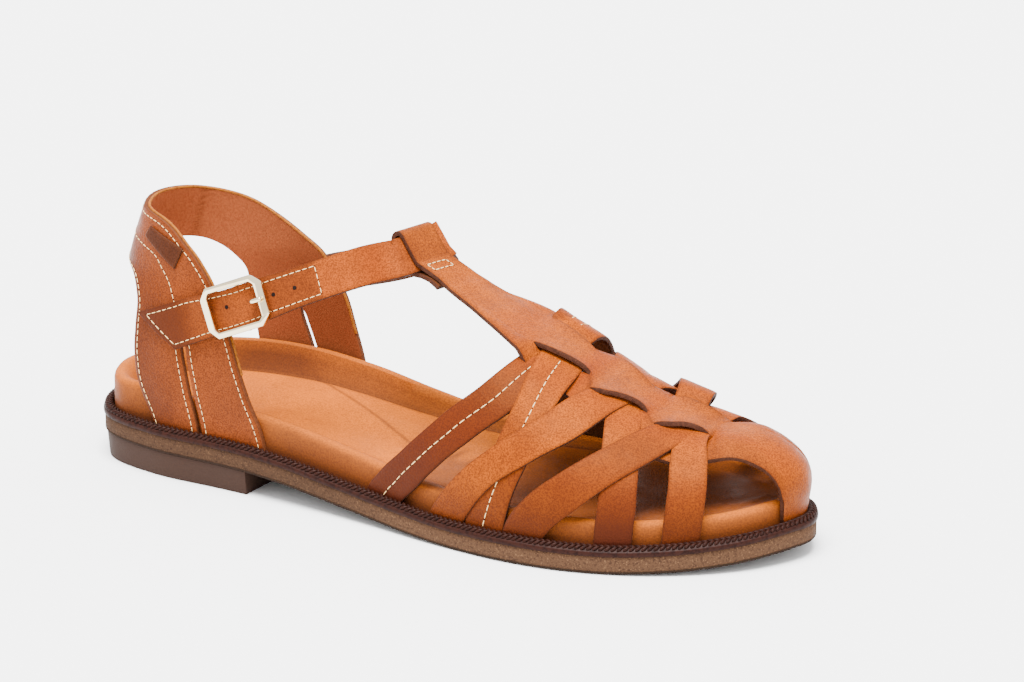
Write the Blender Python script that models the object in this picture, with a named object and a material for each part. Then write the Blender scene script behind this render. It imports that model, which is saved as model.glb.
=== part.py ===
"""Right-foot woven T-strap sandal: sole, welt, footbed, woven upper, heel quarter, ankle strap and buckle.

Lengths in the tables are millimetres: x runs from the heel to the toe, y from the outer (negative) to the
inner side, z up from the floor. Objects are placed in metres about the middle of the footprint.
"""
import math
from collections import namedtuple

import bmesh
import bpy
import numpy as np
from mathutils import Matrix

MM = 0.001
GAP = 0.3
OUTER, INNER = -1, 1

OUTSOLE_BAND = 6.0
HEEL_BREAST_X = 71.0
HEEL_INSET_TOP, HEEL_INSET_FLOOR = 0.6, 1.4
STRAP_WALL = 1.6
QUARTER_WALL = 2.0
STRAP_INSET = 4.6
FOOTBED_INSET = 5.2
SPAN_STEPS = 4
FINE_STEPS = 24

ANKLE_WIDTH, ANKLE_WALL = 13.4, 2.0
LOOP_HALF_WIDTH, LOOP_RADIUS, LOOP_SKEW, LOOP_STRAP_AT = 7.6, 2.2, -0.23, 1.4
LOOP_CENTRE = (118.5, 0.0, 84.2)
LOOP_ACROSS = (0.25, 0.968, 0.02)
LOOP_SLOPE_DEG = 45.85
SLIT_WIDTH = 1.8
BUCKLE_LENGTH, BUCKLE_HEIGHT, BUCKLE_BAR, BUCKLE_CHAMFER = 25.0, 20.6, 2.7, 4.6
BUCKLE_THICK, BUCKLE_LIFT, BAR_DROP, BAR_RADIUS = 1.8, 2.4, 2.3, 0.85
PRONG_RADIUS, PRONG_HOLE_RADIUS = 0.8, 1.5
LABEL_WALL = 0.8

Plan = namedtuple("Plan", "x outer inner")
HEEL_BACK, TOE_TIP = (-1.5, 0.0), (261.0, 6.5)
PLAN = [
    Plan(8, -22.8, 22.8), Plan(31, -32.0, 32.0), Plan(60, -34.2, 32.6), Plan(90, -36.6, 31.4),
    Plan(120, -40.4, 32.8), Plan(150, -45.8, 38.2), Plan(177, -48.8, 42.8), Plan(198, -47.2, 44.0),
    Plan(220, -40.0, 41.2), Plan(241, -26.6, 33.0), Plan(255, -10.5, 21.0),
]
Height = namedtuple("Height", "x z")
SOLE_BOTTOM = [
    Height(0, 9.0), Height(30, 8.7), Height(67, 8.2), Height(85, 6.9), Height(110, 3.9), Height(135, 1.3),
    Height(160, 0.0), Height(208, 0.0), Height(228, 0.8), Height(245, 2.4), Height(259, 4.6),
]
Rim = namedtuple("Rim", "x rim bed arch")
FOOTBED = [
    Rim(0, 14.0, 6.5, 0), Rim(30, 13.6, 7.0, 0.8), Rim(60, 13.2, 8.0, 4.2), Rim(85, 12.8, 8.5, 5.6),
    Rim(110, 12.0, 8.5, 5.4), Rim(135, 11.0, 8.3, 3.4), Rim(160, 10.4, 8.2, 0.8), Rim(180, 10.0, 8.2, 0),
    Rim(260, 9.5, 8.0, 0),
]
HEEL_BULGE, HEEL_BULGE_X = 1.8, (13.0, 24.0)
Section = namedtuple("Section", "inset height")
OUTSOLE_SECTION = [Section(0.7, 0.0), Section(0.0, 0.7), Section(0.0, 5.6), Section(0.4, 6.0)]
WELT_SECTION = [
    Section(-0.4, 0.3), Section(-0.4, 1.6), Section(0.3, 1.9), Section(0.6, 2.8), Section(1.4, 3.4),
    Section(2.3, 3.2), Section(2.6, 0.3),
]
Ridge = namedtuple("Ridge", "x y z")
LAST_RIDGE = [
    Ridge(116, 0, 89.3), Ridge(125, 0, 80.0), Ridge(135, 0, 72.8),
    Ridge(144.5, 0, 69.0), Ridge(153, 0, 65.6),
    Ridge(163, 0, 60.8), Ridge(174, 0, 55.8), Ridge(185.4, 0.3, 50.9), Ridge(195, 0.8, 46.6),
    Ridge(206.5, 1.8, 41.9), Ridge(218, 3.4, 38.2), Ridge(228, 5.2, 36.0),
]
LAST_FOOT = 0.14
TOE_FAN_X = 228.0
TOE_BULGE = 1.8
Strap = namedtuple("Strap", "name top rear front lift")
STRAP_STATIONS = (0.0, 0.25, 0.5, 0.75, 0.95)
STRAPS = [
    Strap("a", 0.950, (119.5, 137.1, 154.9, 164.7, 169.0),
          (132.5, 149.7, 165.1, 173.0, 176.5), (0, 0, 0.4, 1.4, 1.5)),
    Strap("b", 0.968, (162.3, 166.0, 169.9, 170.9, 170.5),
          (173.2, 180.8, 181.9, 183.2, 181.0), (0, 0, 0.4, 2.2, 2.7)),
    Strap("c", 0.972, (142.0, 161.3, 176.7, 187.2, 193.5),
          (156.5, 174.8, 189.0, 198.0, 202.5), (0, 1.3, 1.3, 2.2, 2.7)),
    Strap("d", 0.955, (208.7, 206.4, 204.0, 199.0, 192.8),
          (218.9, 217.0, 214.6, 209.5, 203.4), (0, 0, 0.3, 1.4, 1.5)),
    Strap("e", 0.962, (173.8, 188.2, 200.7, 209.7, 217.0),
          (189.0, 204.9, 216.6, 224.0, 227.6), (0, 1.3, 1.3, 2.2, 2.7)),
    Strap("f", 0.940, (227.2, 226.6, 225.2, 220.5, 215.0),
          (236.5, 237.0, 237.3, 231.0, 225.2), (0, 0, 0.2, 0.8, 1.0)),
]
STRAP_STEPS, INNER_ARCH = 10, 2.6
Spine = namedtuple("Spine", "x centre half_width slit_line lift roll yaw")
SPINE = [
    Spine(124.9, 0.0, 8.5, 6.2, 0.1, 0.0, 0.26), Spine(130, -0.1, 8.5, 6.2, 0.1, 0.08, 0.2),
    Spine(140, -0.3, 8.5, 6.2, 0.1, 0.18, 0.08), Spine(146, -0.4, 10.0, 7.4, 0.1, 0.18, 0.03),
    Spine(153, -0.6, 12.0, 9.0, 0.1, 0.12, 0), Spine(163, -1.0, 15.0, 11.4, 0.3, 0.04, 0),
    Spine(167, -1.0, 16.0, 11.6, 1.2, 0, 0), Spine(172, -1.1, 17.0, 11.3, 3.3, 0, 0),
    Spine(181, -1.2, 17.0, 10.6, 3.3, 0, 0), Spine(187, -1.2, 17.0, 10.2, 2.2, 0, 0),
    Spine(193, -1.1, 17.0, 9.8, 3.3, 0, 0), Spine(203, -0.9, 17.0, 9.2, 3.3, 0, 0),
    Spine(209, -0.7, 17.0, 8.8, 2.2, 0, 0), Spine(215, -0.1, 16.0, 8.4, 3.3, 0, 0),
    Spine(223, 0.6, 12.0, 7.4, 2.9, 0, 0), Spine(230.0, 1.2, 9.0, 6.4, 1.7, 0, 0),
]
SPINE_ROWS, SLIT_RAMP = 42, 0.8
Cap = namedtuple("Cap", "from_tip low")
TOE_CAP = [
    Cap(0, 0.0), Cap(4.5, 0.0), Cap(8.3, 0.0), Cap(9.3, 0.07),
    Cap(10.7, 0.275), Cap(13.8, 0.455), Cap(17.5, 0.545),
    Cap(22.2, 0.601), Cap(29.0, 0.632), Cap(36.8, 0.645),
    Cap(46.0, 0.642), Cap(55.0, 0.632), Cap(61.0, 0.625),
]
CAP_STEPS, CAP_TOP = 9, 0.98
Lift = namedtuple("Lift", "t side crown")
CAP_LIFT = [
    Lift(0, 0.0, 0.0), Lift(0.25, 0.4, 0.2), Lift(0.5, 1.1, 0.9),
    Lift(0.75, 1.3, 2.2), Lift(0.98, 1.3, 2.2),
]
Wall = namedtuple("Wall", "z inset lean")
QUARTER_FORM = [
    Wall(6, 4.95, 0), Wall(19, 4.95, 0), Wall(32, 4.4, 0),
    Wall(40, 4.7, 0), Wall(50, 5.6, 0.5), Wall(60, 7.3, 1.2),
    Wall(68, 8.9, 2.4), Wall(75, 9.5, 3.8), Wall(85, 10.4, 6.2), Wall(100, 11.9, 10.5),
]
BASE = None
Band = namedtuple("Band", "low_l low_z high_l high_z")
QUARTER_OUTER = [
    Band(44.5, BASE, 90.8, BASE), Band(41.5, 22, 87.8, 24),
    Band(37.5, 31, 83.8, 33), Band(35.2, 40, 79, 43),
    Band(33.6, 49, 74.5, 51), Band(31.5, 57, 69, 58.5), Band(27, 66, 62.6, 65), Band(21, 68.5, 55.4, 72),
    Band(13, 69.5, 46, 78.8), Band(7, 69.5, 29, 86.6),
]
QUARTER_INNER = [
    Band(54, BASE, 97.5, BASE), Band(51.8, 24, 94.8, 25), Band(50, 34, 92.2, 35), Band(48, 44, 88.8, 45),
    Band(46, 52, 85, 54), Band(43.3, 58.8, 79.5, 62), Band(38.5, 63, 73, 69), Band(32, 66.8, 64, 74),
    Band(24, 69.3, 51, 80), Band(14, 70, 36, 85.4), Band(6, 69.5, 18, 88.2),
]
QUARTER_BACK = Band(0, 69, 0, 89)
QUARTER_ROWS, QUARTER_STEPS = 44, 6
Slit = namedtuple("Slit", "l z")
SLIT_OUTER = [Slit(55.0, 45.5), Slit(59.4, 33.3), Slit(63.5, 17.0), Slit(65.5, 9.0)]
SLIT_INNER = [Slit(67.4, 47.0), Slit(72.9, 33.6), Slit(78.0, 17.0), Slit(80.3, 9.0)]
LABEL = [Slit(26.2, 81.9), Slit(27.0, 85.0), Slit(46.9, 78.2), Slit(45.2, 72.4)]
Route = namedtuple("Route", "x y z up_x up_y up_z")
ANKLE_FREE_OUTER = [
    Route(66.6, -30.7, 63.6, -0.38, 0.10, 0.92), Route(80.0, -29.0, 69.6, -0.42, 0.22, 0.88),
    Route(95.0, -24.6, 76.0, -0.50, 0.26, 0.83), Route(107.5, -17.8, 80.8, -0.60, 0.18, 0.78),
]
ANKLE_FREE_INNER = [
    Route(117.5, 17.4, 79.6, -0.62, -0.14, 0.78), Route(106.0, 23.6, 74.4, -0.52, -0.24, 0.82),
    Route(92.0, 27.0, 68.6, -0.44, -0.20, 0.88),
]
ANKLE_ON_OUTER = [Slit(40.0, 47.5), Slit(47.0, 50.7), Slit(54.0, 53.9), Slit(60.0, 56.7)]
ANKLE_ON_INNER = [Slit(80.0, 61.4), Slit(72.0, 58.2), Slit(63.0, 54.8)]
ANKLE_ROWS, TIP_SKEW, TIP_FADE = 56, 13.0, 26.0

Finish = namedtuple("Finish", "colour roughness metallic")
FINISHES = {
    "outsole": Finish((0.52, 0.36, 0.19), 0.8, 0.0),
    "heel_block": Finish((0.20, 0.14, 0.10), 0.7, 0.0),
    "welt": Finish((0.045, 0.020, 0.012), 0.45, 0.0),
    "footbed": Finish((0.42, 0.20, 0.075), 0.5, 0.0),
    "upper_vamp": Finish((0.27, 0.085, 0.028), 0.42, 0.0),
    "upper_quarter": Finish((0.25, 0.080, 0.028), 0.42, 0.0),
    "ankle_strap": Finish((0.24, 0.078, 0.028), 0.42, 0.0),
    "buckle_frame": Finish((0.80, 0.66, 0.42), 0.22, 1.0),
    "buckle_prong": Finish((0.80, 0.66, 0.42), 0.22, 1.0),
    "side_label": Finish((0.055, 0.024, 0.014), 0.5, 0.0),
}


def monotone(rows, x, key, column):
    """Monotone cubic through one named column of a table, held flat past its ends."""
    knots = np.array([getattr(row, key) for row in rows], float)
    values = np.array([getattr(row, column) for row in rows], float)
    step = np.diff(knots)
    slope = np.diff(values) / step
    tangent = np.zeros_like(values)
    tangent[0], tangent[-1] = slope[0], slope[-1]
    for i in range(1, len(values) - 1):
        if slope[i - 1] * slope[i] > 0:
            before, after = 2 * step[i] + step[i - 1], step[i] + 2 * step[i - 1]
            tangent[i] = (before + after) / (before / slope[i - 1] + after / slope[i])
    x = np.clip(np.asarray(x, float), knots[0], knots[-1])
    i = np.clip(np.searchsorted(knots, x) - 1, 0, len(step) - 1)
    s = (x - knots[i]) / step[i]
    rise = (2 * s**3 - 3 * s**2 + 1) * values[i] + (3 * s**2 - 2 * s**3) * values[i + 1]
    return rise + step[i] * ((s**3 - 2 * s**2 + s) * tangent[i] + (s**3 - s**2) * tangent[i + 1])


def smooth_path(points, samples):
    """Catmull-Rom curve through rows of numbers, sampled evenly in the row index."""
    p = np.array(points, float)
    p = np.vstack([2 * p[0] - p[1], p, 2 * p[-1] - p[-2]])
    u = np.linspace(0, len(points) - 1, samples)
    i = np.clip(u.astype(int), 0, len(points) - 2)
    s = (u - i)[:, None]
    a, b, c, d = p[i], p[i + 1], p[i + 2], p[i + 3]
    return b + 0.5 * s * (c - a + s * (2 * a - 5 * b + 4 * c - d + s * (3 * (b - c) + d - a)))


def closed_curve(points, steps):
    """Closed centripetal curve through plan points."""
    p = np.array(points, float)
    chord = [math.sqrt(np.linalg.norm(p[(i + 1) % len(p)] - p[i])) for i in range(len(p))]
    s = (np.arange(steps) / steps)[:, None]
    spans = []
    for i in range(len(p)):
        p0, p1, p2, p3 = (p[(i + k) % len(p)] for k in (-1, 0, 1, 2))
        d0, d1, d2 = chord[i - 1], chord[i], chord[(i + 1) % len(p)]
        m1 = (p2 - p1) + d1 * ((p1 - p0) / d0 - (p2 - p0) / (d0 + d1))
        m2 = (p2 - p1) + d1 * ((p3 - p2) / d2 - (p3 - p1) / (d1 + d2))
        spans.append((2 * s**3 - 3 * s**2 + 1) * p1 + (s**3 - 2 * s**2 + s) * m1
                     + (3 * s**2 - 2 * s**3) * p2 + (s**3 - s**2) * m2)
    return np.vstack(spans)


def unit(v):
    return v / np.linalg.norm(v, axis=-1, keepdims=True)


KNOTS = ([HEEL_BACK] + [(row.x, row.outer) for row in PLAN] + [TOE_TIP]
         + [(row.x, row.inner) for row in reversed(PLAN)])
RING = closed_curve(KNOTS, SPAN_STEPS)
FINE = closed_curve(KNOTS, FINE_STEPS)
ORIGIN = np.append((FINE.max(0) + FINE.min(0)) / 2, 0.0)


def inset_ring(ring, inset):
    """The plan outline moved inwards along its own normals."""
    along = unit(np.roll(ring, -1, 0) - np.roll(ring, 1, 0))
    return ring + inset * np.stack([-along[:, 1], along[:, 0]], 1)


def half_edge(side, inset):
    """One half of the inset outline from heel back to toe tip, with its running length."""
    ring = inset_ring(FINE, inset)
    ring = np.roll(ring, -int(np.argmin(ring[:, 0])), 0)
    tip = int(np.argmax(ring[:, 0]))
    half = ring[:tip + 1] if side == OUTER else np.vstack([ring[tip:], ring[:1]])[::-1]
    return half, np.concatenate([[0], np.cumsum(np.linalg.norm(np.diff(half, axis=0), axis=1))])


EDGE_INSETS = (4.0, STRAP_INSET, 12.0)
EDGES = {(side, inset): half_edge(side, inset) for side in (OUTER, INNER) for inset in EDGE_INSETS}


def edge_point(side, length, inset=STRAP_INSET):
    half, run = EDGES[side, inset]
    return np.stack([np.interp(length, run, half[:, 0]), np.interp(length, run, half[:, 1])], -1)


def edge_length(side, x):
    half, run = EDGES[side, STRAP_INSET]
    return np.interp(x, half[:, 0], run)


def sole_bottom(x):
    return monotone(SOLE_BOTTOM, x, "x", "z")


def sole_top(x):
    return sole_bottom(x) + OUTSOLE_BAND


def last_point(side, length, t):
    """Foot form under the straps: t runs from the welt (0) up to the ridge (1)."""
    length, t = np.broadcast_arrays(np.asarray(length, float), np.asarray(t, float))
    p = edge_point(side, length)
    ridge_x = np.minimum(p[..., 0], TOE_FAN_X)
    ridge = np.stack([ridge_x, monotone(LAST_RIDGE, ridge_x, "x", "y")], -1)
    ridge_z = monotone(LAST_RIDGE, ridge_x, "x", "z")
    foot = sole_top(p[..., 0]) + GAP
    knee = foot + 8.2
    toe = np.clip((p[..., 0] - 222) / 30, 0, 1)
    toe = toe * toe * (3 - 2 * toe)
    power = 2 / (2 + 0.5 * toe)
    angle = np.clip((t - LAST_FOOT) / (1 - LAST_FOOT), 0, 1) * math.pi / 2
    bulge = TOE_BULGE * toe * np.sin(math.pi * np.clip((t - 0.07) / 0.6, 0, 1))
    reach = 1 - np.abs(np.cos(angle)) ** power
    xy = p + (ridge - p) * reach[..., None] + bulge[..., None] * unit(p - ridge + 1e-9)
    low = foot + (knee - foot) * np.clip(t / LAST_FOOT, 0, 1)
    high = knee + (ridge_z - knee) * np.sin(angle) ** power
    return np.concatenate([xy, np.where(t < LAST_FOOT, low, high)[..., None]], -1)


def last_lifted(side, length, t, lift):
    """Foot form moved out along its normal."""
    length, t = np.broadcast_arrays(np.asarray(length, float), np.asarray(t, float))
    u = np.clip(t, 0.001, 0.999)
    above, below = np.clip(u + 0.02, 0, 0.999), np.clip(u - 0.02, 0.001, 1)
    rise = last_point(side, length, above) - last_point(side, length, below)
    run = last_point(side, length + 0.5, u) - last_point(side, length - 0.5, u)
    normal = -side * unit(np.cross(run, rise))
    return last_point(side, length, t) + normal * np.asarray(lift)[..., None]


def ridge_height(x, y):
    """Height of the foot form over a plan point close to its ridge."""
    x = np.minimum(x, TOE_FAN_X)
    ridge_y = monotone(LAST_RIDGE, x, "x", "y")
    ridge_z = monotone(LAST_RIDGE, x, "x", "z")
    outer = edge_point(OUTER, edge_length(OUTER, x))[..., 1]
    inner = edge_point(INNER, edge_length(INNER, x))[..., 1]
    edge = np.where(y < ridge_y, outer, inner)
    reach = np.clip((y - edge) / (ridge_y - edge), 0, 1)
    toe = np.clip((x - 222) / 30, 0, 1)
    toe = toe * toe * (3 - 2 * toe)
    power = 2 / (2 + 0.5 * toe)
    angle = np.arccos(np.clip((1 - reach) ** (1 / power), 0, 1))
    knee = sole_top(x) + GAP + 8.2
    return knee + (ridge_z - knee) * np.sin(angle) ** power


def quarter_point(side, length, z):
    """Inner face of the heel quarter at a running length from the heel back and a height."""
    length, z = np.broadcast_arrays(np.asarray(length, float), np.asarray(z, float))
    inset = monotone(QUARTER_FORM, z, "z", "inset")
    lean = monotone(QUARTER_FORM, z, "z", "lean")
    ratio = EDGES[side, 12.0][1][-1] / EDGES[side, 4.0][1][-1]
    wide = edge_point(side, length, 4.0)
    narrow = edge_point(side, length * ratio, 12.0)
    xy = wide + (narrow - wide) * ((inset - 4.0) / 8.0)[..., None]
    return np.stack([xy[..., 0] + lean, xy[..., 1], z], -1)


def quarter_lifted(side, length, z, lift):
    length, z = np.broadcast_arrays(np.asarray(length, float), np.asarray(z, float))
    ahead = np.maximum(length, 0.3)
    run = quarter_point(side, ahead + 0.3, z) - quarter_point(side, ahead - 0.3, z)
    rise = quarter_point(side, length, z + 0.5) - quarter_point(side, length, z - 0.5)
    normal = -side * unit(np.cross(run, rise))
    return quarter_point(side, length, z) + normal * np.asarray(lift)[..., None]


def make_object(name, points, faces):
    mesh = bpy.data.meshes.new(name)
    mesh.from_pydata(((np.asarray(points) - ORIGIN) * MM).tolist(), [], faces)
    body = bmesh.new()
    body.from_mesh(mesh)
    bmesh.ops.recalc_face_normals(body, faces=body.faces)
    body.to_mesh(mesh)
    body.free()
    made = bpy.data.objects.new(name, mesh)
    PARTS.objects.link(made)
    return made


def grid_faces(rows, columns, wrap_rows=False, wrap_columns=False):
    faces = []
    for i in range(rows if wrap_rows else rows - 1):
        for j in range(columns if wrap_columns else columns - 1):
            k, m = (i + 1) % rows, (j + 1) % columns
            faces.append((i * columns + j, k * columns + j, k * columns + m, i * columns + m))
    return faces


def loft_rings(name, rings):
    """Closed solid through equal rings of points, each end closed across the middle."""
    rows, columns = len(rings), len(rings[0])
    faces = grid_faces(rows, columns, wrap_columns=True)
    for start, flip in ((0, False), ((rows - 1) * columns, True)):
        for i in range(columns // 2):
            a, b = i, i + 1
            c, d = columns - i - 1, (columns - i) % columns
            face = [start + k for k in dict.fromkeys((a, b, c, d))]
            if len(face) > 2:
                faces.append(face[::-1] if flip else face)
    return make_object(name, np.vstack(rings), faces)


def sheet(name, inner, outer):
    """Closed wall between an inner and an outer grid of points."""
    rows, columns = inner.shape[:2]
    count = rows * columns
    faces = grid_faces(rows, columns)
    faces += [tuple(count + k for k in face[::-1]) for face in grid_faces(rows, columns)]
    rim = [(0, j) for j in range(columns)] + [(i, columns - 1) for i in range(1, rows)]
    rim += [(rows - 1, j) for j in range(columns - 2, -1, -1)] + [(i, 0) for i in range(rows - 2, 0, -1)]
    loop = [i * columns + j for i, j in rim]
    for a, b in zip(loop, loop[1:] + loop[:1]):
        faces.append((b, a, count + a, count + b))
    return make_object(name, np.vstack([inner.reshape(-1, 3), outer.reshape(-1, 3)]), faces)


def boolean(target, tool, operation):
    """Joins or cuts one closed mesh with another and removes the tool."""
    step = target.modifiers.new(operation.lower(), "BOOLEAN")
    step.object, step.operation, step.solver = tool, operation, "EXACT"
    bpy.context.view_layer.update()
    mesh = bpy.data.meshes.new_from_object(target.evaluated_get(bpy.context.evaluated_depsgraph_get()))
    target.modifiers.clear()
    mesh.name = target.name
    target.data = mesh
    bpy.data.objects.remove(tool)
    return target


def keep_outer_shell(target):
    """Fills the sealed pockets left between joined straps."""
    body = bmesh.new()
    body.from_mesh(target.data)
    shells, seen = [], set()
    for start in body.verts:
        if start in seen:
            continue
        seen.add(start)
        shell, front = [], [start]
        while front:
            vert = front.pop()
            shell.append(vert)
            fresh = {edge.other_vert(vert) for edge in vert.link_edges} - seen
            seen |= fresh
            front.extend(fresh)
        shells.append(shell)
    shells.sort(key=len)
    for shell in shells[:-1]:
        bmesh.ops.delete(body, geom=shell, context="VERTS")
    body.to_mesh(target.data)
    body.free()
    return target


def solid_from_curve(curve_object):
    """Closed mesh with the curve's shape and place."""
    bpy.context.view_layer.update()
    mesh = bpy.data.meshes.new_from_object(curve_object.evaluated_get(bpy.context.evaluated_depsgraph_get()))
    body = bmesh.new()
    body.from_mesh(mesh)
    bmesh.ops.remove_doubles(body, verts=body.verts, dist=0.000001)
    bmesh.ops.recalc_face_normals(body, faces=body.faces)
    body.to_mesh(mesh)
    body.free()
    made = bpy.data.objects.new(curve_object.name + "_solid", mesh)
    made.matrix_world = curve_object.matrix_world.copy()
    PARTS.objects.link(made)
    bpy.data.objects.remove(curve_object)
    return made


def rod(name, points, radius):
    """Round bar along a run of points."""
    curve = bpy.data.curves.new(name, "CURVE")
    curve.dimensions, curve.bevel_depth, curve.bevel_resolution = "3D", radius * MM, 2
    curve.use_fill_caps = True
    spline = curve.splines.new("POLY")
    spline.points.add(len(points) - 1)
    for knot, point in zip(spline.points, points):
        knot.co = (*((np.asarray(point) - ORIGIN) * MM), 1.0)
    made = bpy.data.objects.new(name, curve)
    PARTS.objects.link(made)
    return solid_from_curve(made)


def build_outsole():
    rings = []
    for row in OUTSOLE_SECTION:
        plan = inset_ring(RING, row.inset)
        rings.append(np.column_stack([plan, sole_bottom(plan[:, 0]) + row.height]))
    return loft_rings("outsole", rings)


def build_heel_block():
    half = {}
    for inset in (HEEL_INSET_FLOOR, HEEL_INSET_TOP):
        ring = inset_ring(RING, inset)
        count = len(ring)
        keep = [i for i in range(count // 2) if ring[i][0] < HEEL_BREAST_X - 3]
        outer = [ring[i] for i in keep]
        inner = [ring[-i] for i in keep[1:]]
        out_edge = (HEEL_BREAST_X, np.interp(HEEL_BREAST_X, ring[:count // 2, 0], ring[:count // 2, 1]))
        back = ring[count // 2:][::-1]
        in_edge = (HEEL_BREAST_X, np.interp(HEEL_BREAST_X, back[:, 0], back[:, 1]))
        half[inset] = np.array(outer + [out_edge, in_edge] + inner[::-1])
    floor, top = half[HEEL_INSET_FLOOR], half[HEEL_INSET_TOP]
    bevel = floor + 0.5 * unit(top - floor + 1e-6)
    rings = [
        np.column_stack([floor, np.zeros(len(floor))]),
        np.column_stack([bevel, np.full(len(floor), 0.7)]),
        np.column_stack([top, sole_bottom(top[:, 0]) - GAP]),
    ]
    return loft_rings("heel_block", rings)


def build_welt():
    rows = []
    for row in WELT_SECTION:
        plan = inset_ring(RING, row.inset)
        rows.append(np.column_stack([plan, sole_top(plan[:, 0]) + row.height]))
    grid = np.stack(rows)
    faces = grid_faces(len(rows), len(RING), wrap_rows=True, wrap_columns=True)
    return make_object("welt", grid.reshape(-1, 3), faces)


def build_footbed():
    def heights(plan):
        top = sole_top(plan[:, 0])
        rim = monotone(FOOTBED, plan[:, 0], "x", "rim")
        arch = monotone(FOOTBED, plan[:, 0], "x", "arch") * np.clip(plan[:, 1] / 25, 0, 1)
        return top, top + rim + arch, top + monotone(FOOTBED, plan[:, 0], "x", "bed") + 0.35 * arch

    bulge = HEEL_BULGE * np.clip((HEEL_BULGE_X[1] - RING[:, :1]) / (HEEL_BULGE_X[1] - HEEL_BULGE_X[0]), 0, 1)
    side = inset_ring(RING, FOOTBED_INSET - bulge)
    top, rim, bed = heights(side)
    rings = [np.column_stack([side, top + GAP]), np.column_stack([side, rim - 2.0])]
    for inset, drop in ((0.5, 0.5), (1.7, 0.0), (3.6, 0.4)):
        rings.append(np.column_stack([inset_ring(RING, FOOTBED_INSET + inset - bulge), rim - drop]))
    dish = inset_ring(RING, 14.0)
    rings.append(np.column_stack([dish, rim + 0.65 * (bed - rim)]))
    middle = np.roll(dish[::-1], 1, 0)
    core = dish + 0.5 * (0.5 * (dish + middle) - dish)
    rings.append(np.column_stack([core, bed]))
    return loft_rings("footbed", rings)


def build_strap(side, strap):
    t = np.linspace(0, strap.top, STRAP_STEPS + 1)
    station = namedtuple("Station", "t value")

    def column(values):
        return monotone([station(*pair) for pair in zip(STRAP_STATIONS, values)], t, "t", "value")

    rear, front, lift = column(strap.rear), column(strap.front), column(strap.lift)
    if side == INNER:
        lift = lift + INNER_ARCH * np.sin(math.pi * np.clip((t - 0.5) / 0.465, 0, 1))
    across = np.linspace(0, 1, 3)
    x = rear[:, None] + (front - rear)[:, None] * across
    length = edge_length(side, x)
    inner = last_lifted(side, length, t[:, None], np.broadcast_to(lift[:, None], x.shape))
    outer = last_lifted(side, length, t[:, None], np.broadcast_to(lift[:, None] + STRAP_WALL, x.shape))
    return sheet("strap_" + strap.name, inner, outer)


def build_spine():
    x = np.linspace(SPINE[0].x, SPINE[-1].x, SPINE_ROWS)
    centre, half_width, slit, lift, roll, yaw = (monotone(SPINE, x, "x", c) for c in Spine._fields[1:])
    offsets, lifts = [], []
    for share, ramp, raised in ((1, 0, 0), (0, 1, 0), (0, -1, 1), (0, -5, 1)):
        offsets.append(half_width if share else slit + ramp * SLIT_RAMP)
        lifts.append(lift if raised else np.full_like(lift, 0.1))
    offsets = [-v for v in offsets] + [np.zeros_like(x)] + offsets[::-1]
    lifts = lifts + [lift] + lifts[::-1]
    v, d = np.stack(offsets, 1), np.stack(lifts, 1)
    grid_x = x[:, None] + yaw[:, None] * v
    y = centre[:, None] + v

    def surface(px, py):
        return np.stack([px, py, ridge_height(px, py) + roll[:, None] * (py - centre[:, None])], -1)

    along = surface(grid_x + 0.4, y) - surface(grid_x - 0.4, y)
    over = surface(grid_x, y + 0.4) - surface(grid_x, y - 0.4)
    normal = unit(np.cross(along, over))
    base = surface(grid_x, y)
    return sheet("spine", base + normal * d[..., None], base + normal * (d + STRAP_WALL)[..., None])


def build_toe_cap():
    rows = []
    for side, table in ((OUTER, TOE_CAP[::-1]), (INNER, TOE_CAP[1:])):
        total = EDGES[side, STRAP_INSET][1][-1]
        for row in table:
            rows.append((side, total - row.from_tip, row.low))
    inner, outer = [], []
    for side, length, low in rows:
        t = np.linspace(low, CAP_TOP, CAP_STEPS + 1)
        crown = np.clip((edge_point(side, length)[0] - 226) / 14, 0, 1)
        lift = (1 - crown) * monotone(CAP_LIFT, t, "t", "side") + crown * monotone(CAP_LIFT, t, "t", "crown")
        inner.append(last_lifted(side, length, t, lift))
        outer.append(last_lifted(side, length, t, lift + STRAP_WALL))
    return sheet("toe_cap", np.stack(inner), np.stack(outer))


def loop_axes():
    slope = math.radians(LOOP_SLOPE_DEG)
    along = np.array([math.cos(slope), 0, -math.sin(slope)])
    normal = np.array([math.sin(slope), 0, math.cos(slope)])
    across = unit(np.array(LOOP_ACROSS))
    return np.array(LOOP_CENTRE), along + LOOP_SKEW * across, normal, across


def build_loop():
    """Strap end folded over the ankle strap and tucked back under the T-bar."""
    centre, along, normal, across = loop_axes()
    reach, radius = LOOP_STRAP_AT - ANKLE_WIDTH / 2 + 0.4, LOOP_RADIUS
    turn = np.radians(np.linspace(90, 270, 9))
    path = [(9.6, 2.5), (7.0, 2.35), (4.0, radius), (0.0, radius)]
    path += [(reach + radius * math.cos(a), radius * math.sin(a)) for a in turn]
    path += [(0.0, -radius), (4.5, -radius), (8.7, -radius), (10.7, -1.1), (12.0, 0.9), (14.2, 2.1), (18.5, 3.1)]
    path = np.array(path)
    tangent = unit(np.gradient(path, axis=0))
    side = np.stack([-tangent[:, 1], tangent[:, 0]], 1) * STRAP_WALL / 2
    width = np.linspace(-LOOP_HALF_WIDTH, LOOP_HALF_WIDTH, 4)

    def place(points):
        rows = centre + points[:, :1] * along + points[:, 1:] * normal
        return rows[:, None, :] + width[None, :, None] * across

    return sheet("loop", place(path - side), place(path + side))


def build_upper_vamp():
    vamp = build_spine()
    vamp.name = "upper_vamp"
    for strap in STRAPS:
        for side in (OUTER, INNER):
            boolean(vamp, build_strap(side, strap), "UNION")
    boolean(vamp, build_toe_cap(), "UNION")
    boolean(vamp, build_loop(), "UNION")
    return keep_outer_shell(vamp)


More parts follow.
